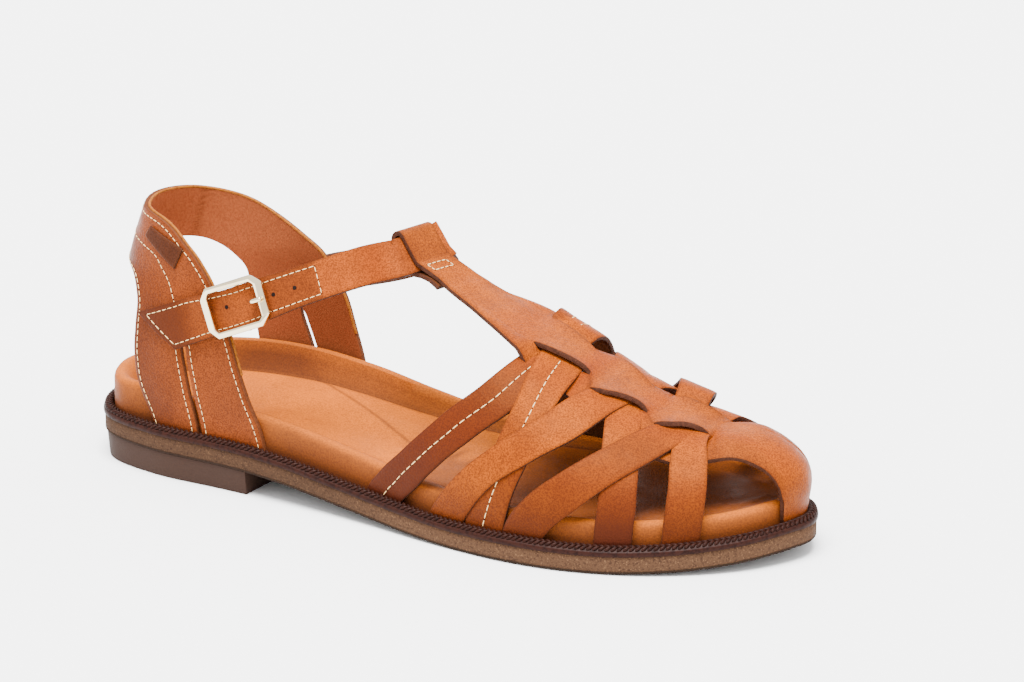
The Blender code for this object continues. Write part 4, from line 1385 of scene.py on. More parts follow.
@dataclass
class Vamp:
    """Woven straps, T-bar with its loop, slit spine and toe cap."""

    wall: float = 1.6
    stations: tuple = (0.0, 0.12, 0.25, 0.4, 0.6, 0.8, 0.95)
    straps: tuple = (
        Strap("a", 0.950, (119, 123.2, 134.6, 146.9, 159.3, 165.3, 168),
              (133, 138.9, 149.3, 161.3, 172.5, 176, 177), (0, 0, 0, 0.25, 0.8, 1.3, 0.9),
              (5.8, 4.6, 5.2, 0, 2), (0.95, 0.92, 0.92, 0.9, 0.75, 0.5, 0.5), True),
        Strap("b", 0.968, (160.5, 162.8, 166.5, 170, 171.6, 170, 168.3),
              (175.6, 176.8, 179.1, 182, 183.6, 183.6, 182.5), (0, 0, 0, 0.25, 0.9, 2, 1.5),
              (4.6, 4.3, 6.8, 3, 0), (0.78, 0.7, 0.62, 0.45, 0.15, 0, 0), True),
        Strap("c", 0.972, (146, 149.6, 158.4, 169.7, 181.4, 187.8, 192.5),
              (159.5, 163.4, 171.4, 183.4, 194.8, 199.5, 202), (0, 0.7, 1.3, 1.3, 1.6, 2.1, 1.5),
              (1.6, 0.4, 5.2, 4.5, 0), (0.75, 0.65, 0.3, 0.1, 0.15, 0, 0)),
        Strap("d", 0.955, (206.3, 206.8, 207.2, 206.1, 202.1, 196.6, 192.8),
              (217.6, 218.1, 218.4, 217.2, 213.8, 208, 204), (0, 0, 0, 0.2, 0.7, 1.25, 0.9),
              (1.2, 1.4, 4.6, 3, 0), (0.97, 0.95, 0.85, 0.72, 0.25, 0, 0)),
        Strap("e", 0.962, (175, 177.8, 184.7, 194, 204, 211.4, 217),
              (188.5, 193.4, 201.6, 209.3, 218.4, 224.2, 227), (0, 0.7, 1.3, 1.3, 1.6, 2.1, 1.5),
              (4.6, 5.4, 6.4, 0, 0), (0.88, 0.82, 0.72, 0.65, 0.6, 0.3, 0.2)),
        Strap("f", 0.940, (225.8, 226.4, 226.8, 226.2, 223.2, 219, 215.5),
              (235.8, 236.5, 237.1, 237.4, 236.6, 232.4, 227), (0, 0, 0, 0.1, 1, 2, 1.5),
              (1, 0.9, 1.8, 0, 3), (0.88, 0.82, 0.7, 0.55, 0.2, 0, 0)))
    strap_grid: tuple = (46, 10)
    strap_burnish_and_shade: tuple = ((0.8, 0.1, 0.3), (0.42, 0.14, 0.15))
    stitched_to: float = 0.9
    crown: float = 0.25
    crown_zone: tuple = (0, 0.2)
    back_zone: tuple = (0, 0.4)
    widen_zone: tuple = (0, 0.15)
    narrow_zone: tuple = (0.55, 0.75)
    within: tuple = (180, 0, 10)
    inner_arch: tuple = ((0.35, 0), (0.6, 0.55), (0.78, 1), (0.83, 0.9), (0.9, 0), (1, 0))
    spine: tuple = (
        (124.9, 0, 7, 5, 0.6, 0.8, 0.26), (131, -0.1, 7.4, 5.3, 1.4, 0.8, 0.19),
        (136, -0.2, 8.3, 6, 1.6, 0.8, 0.12), (140, -0.3, 8.9, 6.5, 1.3, 0.8, 0.08),
        (145, -0.4, 10, 7.3, 1, 0.8, 0.03), (150, -0.5, 11.9, 8.6, 1.4, 0.8, 0.01),
        (155, -0.6, 13.6, 9.8, 1.9, 0.8, 0), (160, -0.9, 14.8, 10.4, 2.3, 0.8, 0),
        (164, -1, 16, 10.6, 2.9, 0.75, 0), (167, -1, 16.6, 10, 3.2, 0.7, 0),
        (172, -1.1, 17, 9, 3.6, 0.65, 0), (177, -1.1, 17, 8.1, 3.8, 0.6, 0),
        (181, -1.2, 17, 7.2, 3.4, 0.55, 0), (185, -1.2, 17.6, 6.4, 2.6, 0.5, 0),
        (188, -1.2, 17.8, 9, 1.9, 0.45, 0), (190.5, -1.1, 17.6, 12.4, 2.2, 0.4, 0),
        (194, -1.1, 17.5, 12, 3.2, 0.4, 0), (197, -1, 17.5, 10.5, 3.5, 0.4, 0),
        (201, -0.9, 17.5, 8.6, 3.3, 0.4, 0), (206, -0.8, 18.2, 7, 2.4, 0.35, 0),
        (209, -0.7, 19, 8.5, 1.7, 0.3, 0), (213, -0.3, 20.8, 11, 2.2, 0.25, 0),
        (217, 0, 21.5, 10.4, 3, 0.2, 0), (221, 0.5, 21, 8.8, 3, 0.15, 0),
        (225, 0.9, 20.5, 8, 2.6, 0.1, 0), (228, 1.2, 20, 7.4, 2, 0, 0))
    slits: tuple = ((167, 186), (190, 207), (212.5, 227.7))
    spine_burnish_and_shade: tuple = ((160, 9, 0.3), (184, 4, 0.6), (206, 4, 0.4))
    spine_start: float = 131.0
    spine_lean: tuple = (0.6, 0.6, 1.0)
    even_zone: tuple = (150, 165)
    tight_zone: tuple = (163.5, 170)
    pull_zone: tuple = (214, 228)
    pull_reach: float = 18.0
    slit_round: float = 0.7
    wing_curve: float = 1.5
    lip_curve: float = 2.4
    inner_back: tuple = (5.2, 3.4, 205, 222)
    lip: float = 5.2
    rest: float = 0.15
    lip_and_loop_dark: float = 0.3
    lip_shade: float = 2.2
    lip_zone: tuple = (160, 168)
    wing_cells: int = 8
    centre_cells: int = 9
    spine_rows: int = 110
    cap: tuple = (
        (0, 0), (4.5, 0), (8.3, 0), (9.3, 0.07), (10.7, 0.275), (13.8, 0.455), (17.5, 0.545), (22.2, 0.601),
        (29, 0.632), (36.8, 0.645), (46, 0.642), (55, 0.632), (61, 0.625))
    cap_rows: int = 44
    cap_lift: tuple = ((0, 0, 0), (0.25, 0.4, 0.2), (0.5, 1.1, 0.9), (0.75, 1.3, 2.2), (1, 1.3, 2.2))
    cap_crown: tuple = (226, 14)
    cap_stand: tuple = (236, 246)
    cap_pole: float = 2.0
    cap_join: tuple = (0.8, 1.0)
    cap_even: tuple = (0.2, 0.75)
    cap_top: tuple = (0.8, 1.0)
    cap_dark: tuple = (0.5, 1.5)
    cap_burnish_and_shade: tuple = (0.3, 0.45, 0.2)
    cap_within: tuple = (225, 0, 10)
    loop_rows: int = 60
    loop_tuck: tuple = (6.0, 2.3)
    loop_tail: tuple = ((7.5, -1.9), (10.0, 0.6), (13.0, 2.5), (17.0, 3.7))
    loop_half_width: float = 7.6
    tack_run: tuple = (8.2, 11.0)
    tack_half: float = 4.4
    tack_shift: float = -0.9
    tack_pitch: float = 2.0
    loop_radius: float = 2.2
    loop_taper: float = 0.014
    loop_skew: float = -0.23
    loop_strap_at: float = 1.4
    loop_centre: tuple = (118.5, 0.0, 84.2)
    loop_across: tuple = (0.25, 0.968, 0.02)
    loop_slope_deg: float = 45.85
    strap_width: float = 13.4
    seam: Seam = field(default_factory=lambda: Seam("vamp_seam", pitch=2.9, share=0.8, radius=0.18))

    def build(self) -> None:
        """Builds every strap, then the spine with its toe cap, then the thread."""
        for strap in self.straps:
            for side in Side:
                self.strap(strap, side)
        self.spine_and_cap()
        self.seam.build("upper_vamp")

    def strap(self, strap: Strap, side: Side) -> None:
        """One strap from the welt to its slit.

        Args:
            strap: its stations.
            side: half of the shoe.
        """
        t, across = np.linspace(0, strap.top, self.strap_grid[0]), np.linspace(0, 1, self.strap_grid[1])
        rear, front, lift, dark = (monotone(tuple(zip(self.stations, values)), t)
                                   for values in (strap.rear, strap.front, strap.lift, strap.dark))
        arch = np.zeros(self.strap_grid)
        if side is Side.INNER:
            high_rear, high_front, back, wide_rear, wide_front = strap.inner
            arch = (high_rear + (high_front - high_rear) * across) * monotone(self.inner_arch, t)[:, None]
            moved = back * ease(t, *self.back_zone)
            wide = ease(t, *self.widen_zone) * fade(t, *self.narrow_zone)
            rear, front = rear - moved - wide_rear * wide, front - moved + wide_front * wide
        x = rear[:, None] + (front - rear)[:, None] * across
        crown = self.crown * (1 - (2 * across - 1) ** 4)
        stand = lift[:, None] + arch + crown * ease(t, *self.crown_zone)[:, None]
        points = FORM.last_lifted(side, FORM.edge_length(side, x), t[:, None], stand)
        width = np.linalg.norm(points[:, -1] - points[:, 0], axis=1)[:, None]
        # Orange tone under the lips and at the crossings: painted warm shade, partly burnished dye; the dark
        # stations are painted shade towards the welt, partly dye.
        glow = sum(share * bell(t, at, wide) for at, wide, share in self.strap_burnish_and_shade)
        marks = {"rim": width * np.minimum(across, 1 - across), "dark": dark[:, None], "glow": glow[:, None]}
        name = "strap_{}_{}".format(strap.name, side.name.lower())
        piece = grid(name, points, marks, centre=self.within)
        thicken(piece, self.wall)
        dress(piece, "upper_vamp", Finish.LEATHER, Finish.EDGE, Finish.BACK)
        if strap.stitched:
            shown = t < self.stitched_to
            place = FORM.edge_length(side, (0.5 * (rear + front))[shown])
            height = (lift + arch.mean(1) + self.crown)[shown]
            inner, outer = (FORM.last_lifted(side, place, t[shown], height + wall) for wall in (0, self.wall))
            self.seam.row(outer, unit(outer - inner))

    def _spine_columns(self, x: Array) -> tuple[Array, Array, Array]:
        """Inner face, edge distance and open rows of the spine.

        Args:
            x: rows along the ridge.

        Returns:
            Points and edge distances by row and column, and whether each row's slit is open.
        """
        lift, flat = (monotone(self.spine, x, column)[:, None] for column in (4, 5))
        wing = np.linspace(0, 1, self.wing_cells + 1)[None, :]
        centre = np.linspace(1, 0, self.centre_cells + 1)[None, :]
        sides, rims, open_rows = [], [], []
        most, less, *zone = self.inner_back
        for side in Side:
            place = x + (most - less * ease(x, *zone) if side is Side.INNER else 0)
            half, slit = (monotone(self.spine, place, column)[:, None] for column in (2, 3))
            half = half + (monotone(self.spine, x, 2)[:, None] - half) * fade(x, *self.even_zone)[:, None]
            tight = fade(place, *self.tight_zone)[:, None]
            opened = np.zeros_like(half)
            for start, end in self.slits:
                inside = np.clip((place - start) / (end - start), 0, 1)[:, None]
                opened = np.maximum(opened, np.sin(math.pi * inside) ** self.slit_round)
            open_rows.append(opened[:, 0] > 1e-6)
            edge = lift + flat * self._drop(x, side.value * slit)
            lip = edge + np.maximum(self.lip - edge, 0) * opened
            rest = self.rest + (lift + flat * self._drop(x, side.value * half) - self.rest) * tight
            tuck = edge + (self.rest - edge) * opened
            wing_at = half + (slit - half) * wing
            wing_up = rest + (tuck - rest) * wing**self.wing_curve
            centre_at = slit * centre
            centre_up = lift + flat * self._drop(x, side.value * centre_at)
            centre_up = centre_up + (lip - edge) * centre**self.lip_curve
            far = np.where(opened > 0, 0.0, 9.0)
            wing_rim = np.minimum(half - wing_at, wing_at - slit + far)
            centre_rim = np.minimum(slit - centre_at + far, half - centre_at)
            at, up = np.hstack([wing_at, centre_at]), np.hstack([wing_up, centre_up])
            rims.append(np.hstack([wing_rim, centre_rim]))
            sides.append(self._spine_points(x, side.value * at, up))
        points = np.hstack([sides[0], sides[1][:, -2::-1]])
        return points, np.hstack([rims[0], rims[1][:, -2::-1]]), np.stack(open_rows, 1)

    def _plan(self, x: Array, at: Array) -> tuple[Array, Array]:
        """Plan place of spine columns.

        Args:
            x: rows along the ridge.
            at: distances across by row and column.

        Returns:
            x and y of the columns.
        """
        centre, yaw = (monotone(self.spine, x, column)[:, None] for column in (1, 6))
        pull = ease(x, *self.pull_zone)[:, None] * (monotone(FORM.ridge, x)[:, None] - centre)
        near = np.clip(1 - np.abs(at) / self.pull_reach, 0, 1)
        return x[:, None] + yaw * at, centre + at + pull * near

    def _drop(self, x: Array, at: Array) -> Array:
        """How far the foot form falls from the spine's middle to its columns."""
        middle, column = (FORM.ridge_height(*self._plan(x, place)) for place in (0 * at, at))
        return middle - column

    def _spine_points(self, x: Array, at: Array, up: Array) -> Array:
        """Inner face of the spine over the foot form's ridge.

        Args:
            x: rows along the ridge.
            at: distances across by row and column.
            up: stand off the form.

        Returns:
            Points of the face.
        """
        px, py = self._plan(x, at)

        def surface(sx: Array, sy: Array) -> Array:
            """Point of the foot form over a plan place."""
            return np.stack([sx, sy, FORM.ridge_height(sx, sy)], -1)

        step = FORM.probe_ridge
        along = surface(px + step, py) - surface(px - step, py)
        over = surface(px, py + step) - surface(px, py - step)
        out = unit(np.cross(along, over)) * self.spine_lean
        return surface(px, py) + out * up[..., None]

    def _loop_rows(self, share: Array) -> Array:
        """The folded loop.

        Args:
            share: places across, from -1 to 1.

        Returns:
            Rows from its tucked end, round the ankle strap, to the T-bar's top.
        """
        centre, along, normal, across = self.loop_axes()
        reach, radius = self.loop_strap_at - self.strap_width / 2 + 0.4, self.loop_radius
        turn = np.radians(np.linspace(90, 270, 17))
        path = [self.loop_tuck, (3.0, radius), (0.0, radius)]
        path += [(reach + radius * math.cos(a), radius * math.sin(a)) for a in turn]
        path += [(0.0, -radius), (4.5, -radius), *self.loop_tail]
        path = np.array(path[::-1])
        run = run_length(np.column_stack([path, 0 * path[:, 0]]))
        path = read_along(run, path, np.linspace(0, run[-1], self.loop_rows))
        tangent = unit(np.gradient(path, axis=0))
        inner = path - np.stack([-tangent[:, 1], tangent[:, 0]], 1) * self.wall / 2
        tail = np.clip(path[:, :1], 0, 16) * (np.arange(len(path)) < len(path) / 2)[:, None]
        rows = centre + inner[:, :1] * along + inner[:, 1:] * normal
        half = self.loop_half_width * (1 - self.loop_taper * tail)
        return rows[:, None, :] + (share * half)[..., None] * across

    def loop_axes(self) -> tuple[Array, Array, Array, Array]:
        """Place of the loop.

        Returns:
            Its middle, its run down the T-bar, its way up and its way across.
        """
        slope = math.radians(self.loop_slope_deg)
        along = np.array([math.cos(slope), 0, -math.sin(slope)])
        normal = np.array([math.sin(slope), 0, math.cos(slope)])
        across = unit(np.array(self.loop_across))
        return np.array(self.loop_centre), along + self.loop_skew * across, normal, across

    def _cap_rows(self, border: Array) -> tuple[Array, Array]:
        """Fan of the toe cap from the spine's last row, round the tip and back.

        Args:
            border: the spine's last row of points.

        Returns:
            Fan points, from the outer to the inner side and from the edge to the pole, and edge distances.
        """
        half = (len(border) + 1) // 2
        pole = border[half - 1]
        tables = {}
        for side, row in ((Side.OUTER, border[:half]), (Side.INNER, border[::-1][:half])):
            angle = FORM.ridge_angle(np.full(half, FORM.fan_x), row[:, 1])[0]
            t = FORM.foot_share + (1 - FORM.foot_share) * angle / (math.pi / 2)
            tables[side] = np.clip((t - t[0]) / (1 - t[0]), 0, 1), t[0]
        rows, rims = [], []
        for side in Side:
            total = FORM.edges[side, FORM.strap_inset][1][-1]
            start = total - float(FORM.edge_length(side, FORM.fan_x))
            from_tip = np.linspace(start, 0, self.cap_rows)
            if side is Side.INNER:
                from_tip = from_tip[::-1][1:]
            for reach in from_tip:
                near = reach / start
                low = float(monotone(self.cap, reach))
                low = low + (tables[side][1] - low) * float(ease(near, *self.cap_join))
                mixed = 0.5 * (tables[Side.OUTER][0] + tables[Side.INNER][0])
                share = mixed + (tables[side][0] - mixed) * near
                even = np.linspace(0, 1, half)
                share = share + (even - share) * float(fade(near, *self.cap_even))
                t = low + (1 - low) * share
                edge_x = FORM.edge_point(side, total - reach)[0]
                crown = float(np.clip((edge_x - self.cap_crown[0]) / self.cap_crown[1], 0, 1))
                wing = (1 - crown) * monotone(self.cap_lift, t) + crown * monotone(self.cap_lift, t, 2)
                stand = float(ease(edge_x, *self.cap_stand))
                wing = wing * stand + self.rest * (1 - stand)
                lift = wing + (self.cap_pole - wing) * ease(t, *self.cap_top)
                row = FORM.last_lifted(side, np.full(half, total - reach), t, lift)
                row[-1] = pole
                rows.append(row)
                rims.append(np.linalg.norm(row - row[0], axis=1))
        rows[0], rows[-1] = border[:half], border[::-1][:half]
        return np.stack(rows), np.stack(rims)

    def spine_and_cap(self) -> None:
        """Loop, T-bar, slit spine and toe cap as one leather."""
        x = np.linspace(self.spine_start, FORM.fan_x, self.spine_rows)
        rows, rim, is_open = self._spine_columns(x)
        width = np.linalg.norm(rows[0] - rows[0, len(rows[0]) // 2], axis=1)
        share = width / width.max() * np.sign(np.arange(len(width)) - len(width) // 2)
        loop = self._loop_rows(share)
        bridge = smooth_path([loop[-3], loop[-1], rows[0], rows[4]], 22)[8:14]
        points = np.concatenate([loop, bridge, rows])
        before = len(loop) + len(bridge)
        rim = np.concatenate([np.repeat(rim[:1], before, 0), rim])
        along = np.concatenate([np.full(before, self.spine_start), x])
        cell = self.wing_cells
        last = points.shape[1] - 2 - cell
        holes = []
        for i in range(len(x) - 1):
            holes += [(before + i, column) for k, column in enumerate((cell, last))
                      if is_open[i:i + 2, k].any()]
        # Painted shade near the slit lips, and the loop darker all over; the orange tone at the slit ends is
        # painted warm shade, partly burnished dye.
        near_lip = np.exp(-rim / self.lip_shade) * ease(along, *self.lip_zone)[:, None]
        glow = sum(share * bell(along, at, wide) for at, wide, share in self.spine_burnish_and_shade)
        folded = (np.arange(len(points)) < len(loop))[:, None]
        marks = {"rim": rim, "dark": self.lip_and_loop_dark * np.maximum(near_lip, folded), "glow": glow[:, None]}
        spine = grid("spine", points, marks, holes, centre=self.within)
        border = np.delete(points[-1], [cell + 1, last], axis=0)
        fan, fan_rim = self._cap_rows(border)
        low = np.linspace(1, 0, fan.shape[1])
        # Painted shade towards the cap's lower edge, and an orange band across its middle, partly burnished
        # dye and partly painted warm shade.
        (dark, curve), (share, *spot) = self.cap_dark, self.cap_burnish_and_shade
        fan_marks = {"rim": fan_rim, "dark": dark * low**curve, "glow": share * bell(low, *spot)}
        cap = grid("cap", fan, fan_marks, centre=self.cap_within)
        piece = join("t_bar_spine_and_toe_cap", [spine, cap], merge=True)
        thicken(piece, self.wall)
        dress(piece, "upper_vamp", Finish.LEATHER, Finish.EDGE, Finish.BACK)
        self._bartack(points[len(loop) - 14:before + 14])

    def _bartack(self, rows: Array) -> None:
        """Sewn rectangle that holds the loop's end.

        Args:
            rows: rows of leather below the fold.
        """
        centre, along, normal, across = self.loop_axes()
        middle = rows.shape[1] // 2
        run = (rows[:, middle] - centre) @ unit(along)
        faces = np.cross(np.gradient(rows, axis=0), np.gradient(rows, axis=1))
        faces = unit(faces * np.sign(np.sum(faces * normal, -1, keepdims=True)))

        def spot(values: Array, run_at: float, side_at: float) -> Array:
            """Values at a run down the leather and a way across it."""
            row, place = (np.stack([read_along(run, column, run_at) for column in table.swapaxes(0, 1)])
                          for table in (values, rows))
            return read_along((place - place[middle]) @ across, row, side_at)

        corners = [(self.tack_run[i], v * self.tack_half + self.tack_shift)
                   for i, v in ((0, -1), (0, 1), (1, 1), (1, -1), (0, -1))]
        for a, b in zip(corners, corners[1:]):
            spots = np.linspace(a, b, 8)
            out = unit(np.array([spot(faces, *where) for where in spots]))
            line = np.array([spot(rows, *where) for where in spots]) + out * (self.wall + 0.02)
            self.seam.row(line, out, self.tack_pitch)


@dataclass
class Quarter:
    """Heel quarter: the stitched band round the heel with its slits, lining, binding and side label."""

    wall: float = 2.0
    outer: tuple = (
        (44.5, -1, 90.8, -1), (41.5, 22, 87.8, 24), (37.5, 31, 83.8, 33), (35.2, 40, 79, 43),
        (33.6, 49, 74.5, 51), (31.5, 57, 69, 58.5), (27.4, 62.6, 62.6, 65), (21.2, 67, 55.4, 72),
        (13.2, 69.1, 46, 78.8), (7, 69.4, 29, 86.6))
    inner: tuple = (
        (54, -1, 97.5, -1), (51.8, 24, 94.8, 25), (50, 34, 92.2, 35), (48, 44, 88.8, 45), (46, 52, 85, 54),
        (43.3, 58.8, 79.5, 62), (38.5, 63, 73, 69), (32, 66.8, 64, 74), (24, 69.3, 51, 80),
        (14, 70, 36, 85.4), (6, 69.5, 18, 88.2))
    back: tuple = (0, 69, 0, 89)
    slit_outer: tuple = ((9, 64.4), (17.7, 63.2), (32.3, 60.4), (47, 56), (50, 55))
    middle_row: tuple = ((0, 79), (13.5, 78.6), (30.3, 75), (36.9, 71), (42.6, 66.2), (48, 60.5), (50, 57))
    middle_samples: int = 90
    slit_inner: tuple = ((9, 80.3), (17, 78), (33.6, 72.9), (47, 67.4))
    slit_width: float = 2.0
    slit_hold: tuple = (44, 60)
    slit_share: float = 0.48
    slit_taper: float = 3.0
    edge_inset: tuple = (1.7, 1.955)
    slit_inset: float = 1.9
    thread_lifts: tuple = (1.0, 2.0)
    binding_radius: float = 0.5
    binding_from: float = 40.0
    binding_place: tuple = (0.15, 0.2)
    within: tuple = (45, 0, 45)
    label: tuple = ((25, 79.8), (25.9, 83.5), (44.4, 78.8), (43.3, 71.6))
    label_wall: float = 0.8
    label_stand: float = 0.1
    label_round: float = 0.25
    label_grid: tuple = (22, 8)
    label_rim: tuple = (20, 6)
    rows: int = 170
    cells: int = 10
    edge_dark: tuple = (0.5, 2, 20)
    dark_zone: tuple = (-22, -10)
    quarter_burnish_and_shade: tuple = (0.25, 62, 14)
    inner_deep_shade: tuple = (0.6, 34, 80)
    lining_seam: tuple = (21, 0.9)
    seam: Seam = field(default_factory=lambda: Seam("quarter_seam", pitch=2.25))

    def build(self) -> None:
        """Builds the band, its thread and what is sewn to it."""
        self.band()
        self.side_label()
        self.seam.build("upper_quarter")

    @staticmethod
    def _lay(signed: Array, z: Array, lift: float) -> Array:
        """Points of the quarter at a height and a signed running length, negative on the outer side."""
        outer, inner = (FORM.quarter_lifted(side, np.maximum(side.value * signed, 0), z, lift)
                        for side in Side)
        return np.where(signed[..., None] <= 0, outer, inner)

    def _rows(self) -> Array:
        """Rows of the band from the outer foot, round the heel back, to the inner foot.

        Returns:
            Signed length and height of each row's low end, then of its high end.
        """
        rows = []
        for side, table in ((Side.OUTER, self.outer), (Side.INNER, (self.back,) + self.inner[::-1])):
            for low_l, low_z, high_l, high_z in table:
                ends = []
                for length, z in ((low_l, low_z), (high_l, high_z)):
                    foot = float(FORM.sole_top(FORM.edge_point(side, length, FORM.wide_inset)[0])) + GAP
                    ends += [side.value * length, foot if z < 0 else z]
                rows.append(ends)
        return smooth_path(rows, self.rows)

    @staticmethod
    def _place(rows: Array, share: Array) -> tuple[Array, Array]:
        """Places across the rows.

        Args:
            rows: ends of each row.
            share: 0 at its low end to 1 at its high end.

        Returns:
            Signed length and height.
        """
        signed, z = (rows[:, k, None] + (rows[:, k + 2] - rows[:, k])[:, None] * share for k in (0, 1))
        outer, inner = (FORM.edge_point(side, np.maximum(side.value * signed, 0), FORM.wide_inset)[..., 0]
                        for side in Side)
        return signed, np.maximum(z, FORM.sole_top(np.where(signed <= 0, outer, inner)) + GAP)

    def _slit_share(self, rows: Array) -> tuple[Array, Array]:
        """Slit across the rows.

        Args:
            rows: ends of each row.

        Returns:
            Where the slit line crosses each row, and half its width, as shares of the row.
        """
        middle_z = rows[:, [1, 3]].mean(1)
        spread = np.maximum(np.abs(rows[:, 2] - rows[:, 0]), 1)
        line, half = np.full(len(rows), self.slit_share), np.zeros(len(rows))
        for table, chosen in ((self.slit_outer, rows[:, 2] < 0), (self.slit_inner, rows[:, 2] > 0)):
            length = monotone(table, middle_z)
            share = (length - np.abs(rows[:, 0])) / spread
            low = chosen & (middle_z < self.slit_hold[1])
            hold = ease(middle_z, *self.slit_hold)
            line[low] = (share * (1 - hold) + self.slit_share * hold)[low]
            near = chosen & (middle_z < table[-1][0])
            taper = np.clip((table[-1][0] - middle_z) / self.slit_taper, 0, 1) ** 0.5
            half[near] = (self.slit_width / 2 / spread * taper)[near]
        return line, half

    def band(self) -> None:
        """The leather band with its slits, thread rows and bound top edge."""
        rows = self._rows()
        line, half = self._slit_share(rows)
        part = np.linspace(0, 1, self.cells + 1)
        rear = part[None, :] * (line - half)[:, None]
        front = (line + half)[:, None] + part[None, :] * (1 - line - half)[:, None]
        share = np.concatenate([rear, front], 1)
        signed, z = self._place(rows, share)
        points = self._lay(signed, z, 0.0)
        span = np.linalg.norm(points[:, -1] - points[:, 0], axis=1)[:, None]
        is_open = half > 0
        holes = [(i, self.cells) for i in range(len(rows) - 1) if is_open[i] or is_open[i + 1]]
        rim = span * np.minimum(share, 1 - share)
        # Painted shade towards the band's foot on the outer side; an orange band round the heel at one
        # height, partly burnished dye and partly painted warm shade; painted shade towards the front of the
        # inner lining; the lining seam's dark line.
        (dark, *edge), (glow, *height), (deep, *zone) = self.edge_dark, self.quarter_burnish_and_shade, self.inner_deep_shade
        marks = {"rim": rim, "dark": dark * fade(span * share, *edge) * fade(signed, *self.dark_zone),
                 "glow": glow * bell(z, *height), "seam": bell(signed, *self.lining_seam),
                 "deep": deep * ease(signed, *zone)}
        piece = grid("quarter_band", points, marks, holes, centre=self.within)
        thicken(piece, self.wall)
        dress(piece, "upper_quarter", Finish.QUARTER, Finish.EDGE_LIGHT, Finish.LINING)
        self._thread(rows, line, half)
        self._binding(rows)

    def _stitch_line(self, rows: Array, share: Array) -> None:
        """One thread row.

        Args:
            rows: ends of each row of the band.
            share: its place across each row.
        """
        signed, z = self._place(rows, share[:, None])
        inner, outer = (self._lay(signed, z, lift)[:, 0] for lift in self.thread_lifts)
        self.seam.row(outer, unit(outer - inner))

    def _thread(self, rows: Array, line: Array, half: Array) -> None:
        """Rows along both edges, both sides of the slits, and the middle of the heel.

        Args:
            rows: ends of each row of the band.
            line: place of the slit across each row.
            half: half its width.
        """
        spread = np.maximum(np.linalg.norm(rows[:, [2, 3]] - rows[:, [0, 1]], axis=1), 1)
        self._stitch_line(rows, self.edge_inset[0] / spread)
        self._stitch_line(rows, 1 - self.edge_inset[1] / spread)
        for chosen in (rows[:, 2] < 0, rows[:, 2] > 0):
            low = chosen & (half > 0)
            for sign in (-1, 1):
                self._stitch_line(rows[low], (line + sign * (half + self.slit_inset / spread))[low])
        length, z = smooth_path(self.middle_row, self.middle_samples).T
        for side in Side:
            inner, outer = (FORM.quarter_lifted(side, length, z, lift) for lift in self.thread_lifts)
            self.seam.row(outer, unit(outer - inner))

    def _binding(self, rows: Array) -> None:
        """Light rolled edge of the lining along the collar.

        Args:
            rows: ends of each row of the band.
        """
        signed, z = self._place(rows[rows[:, 3] > self.binding_from], np.ones(1))
        over, out = self.binding_place
        bead = tube("collar_binding", self._lay(signed, z + over, out)[:, 0], self.binding_radius, 8)
        dress(bead, "upper_quarter", Finish.HONEY)

    def side_label(self) -> None:
        """Bare leather label on the outer collar."""
        corners = [np.array(row, float) for row in self.label]
        u = np.linspace(0, 1, self.label_grid[0])[:, None, None]
        v = np.linspace(0, 1, self.label_grid[1])[None, :, None]
        spot = (1 - u) * ((1 - v) * corners[0] + v * corners[1]) + u * ((1 - v) * corners[3] + v * corners[2])
        points = FORM.quarter_lifted(Side.OUTER, spot[..., 0], spot[..., 1], self.wall + self.label_stand)
        long, wide = self.label_rim
        rim = np.minimum(np.minimum(u, 1 - u) * long, np.minimum(v, 1 - v) * wide)[..., 0]
        piece = grid("side_label_leather", points, {"rim": rim, "dark": 0, "glow": 0}, centre=self.within)
        thicken(piece, self.label_wall, round_mm=self.label_round)
        dress(piece, "side_label", Finish.LABEL, Finish.EDGE)


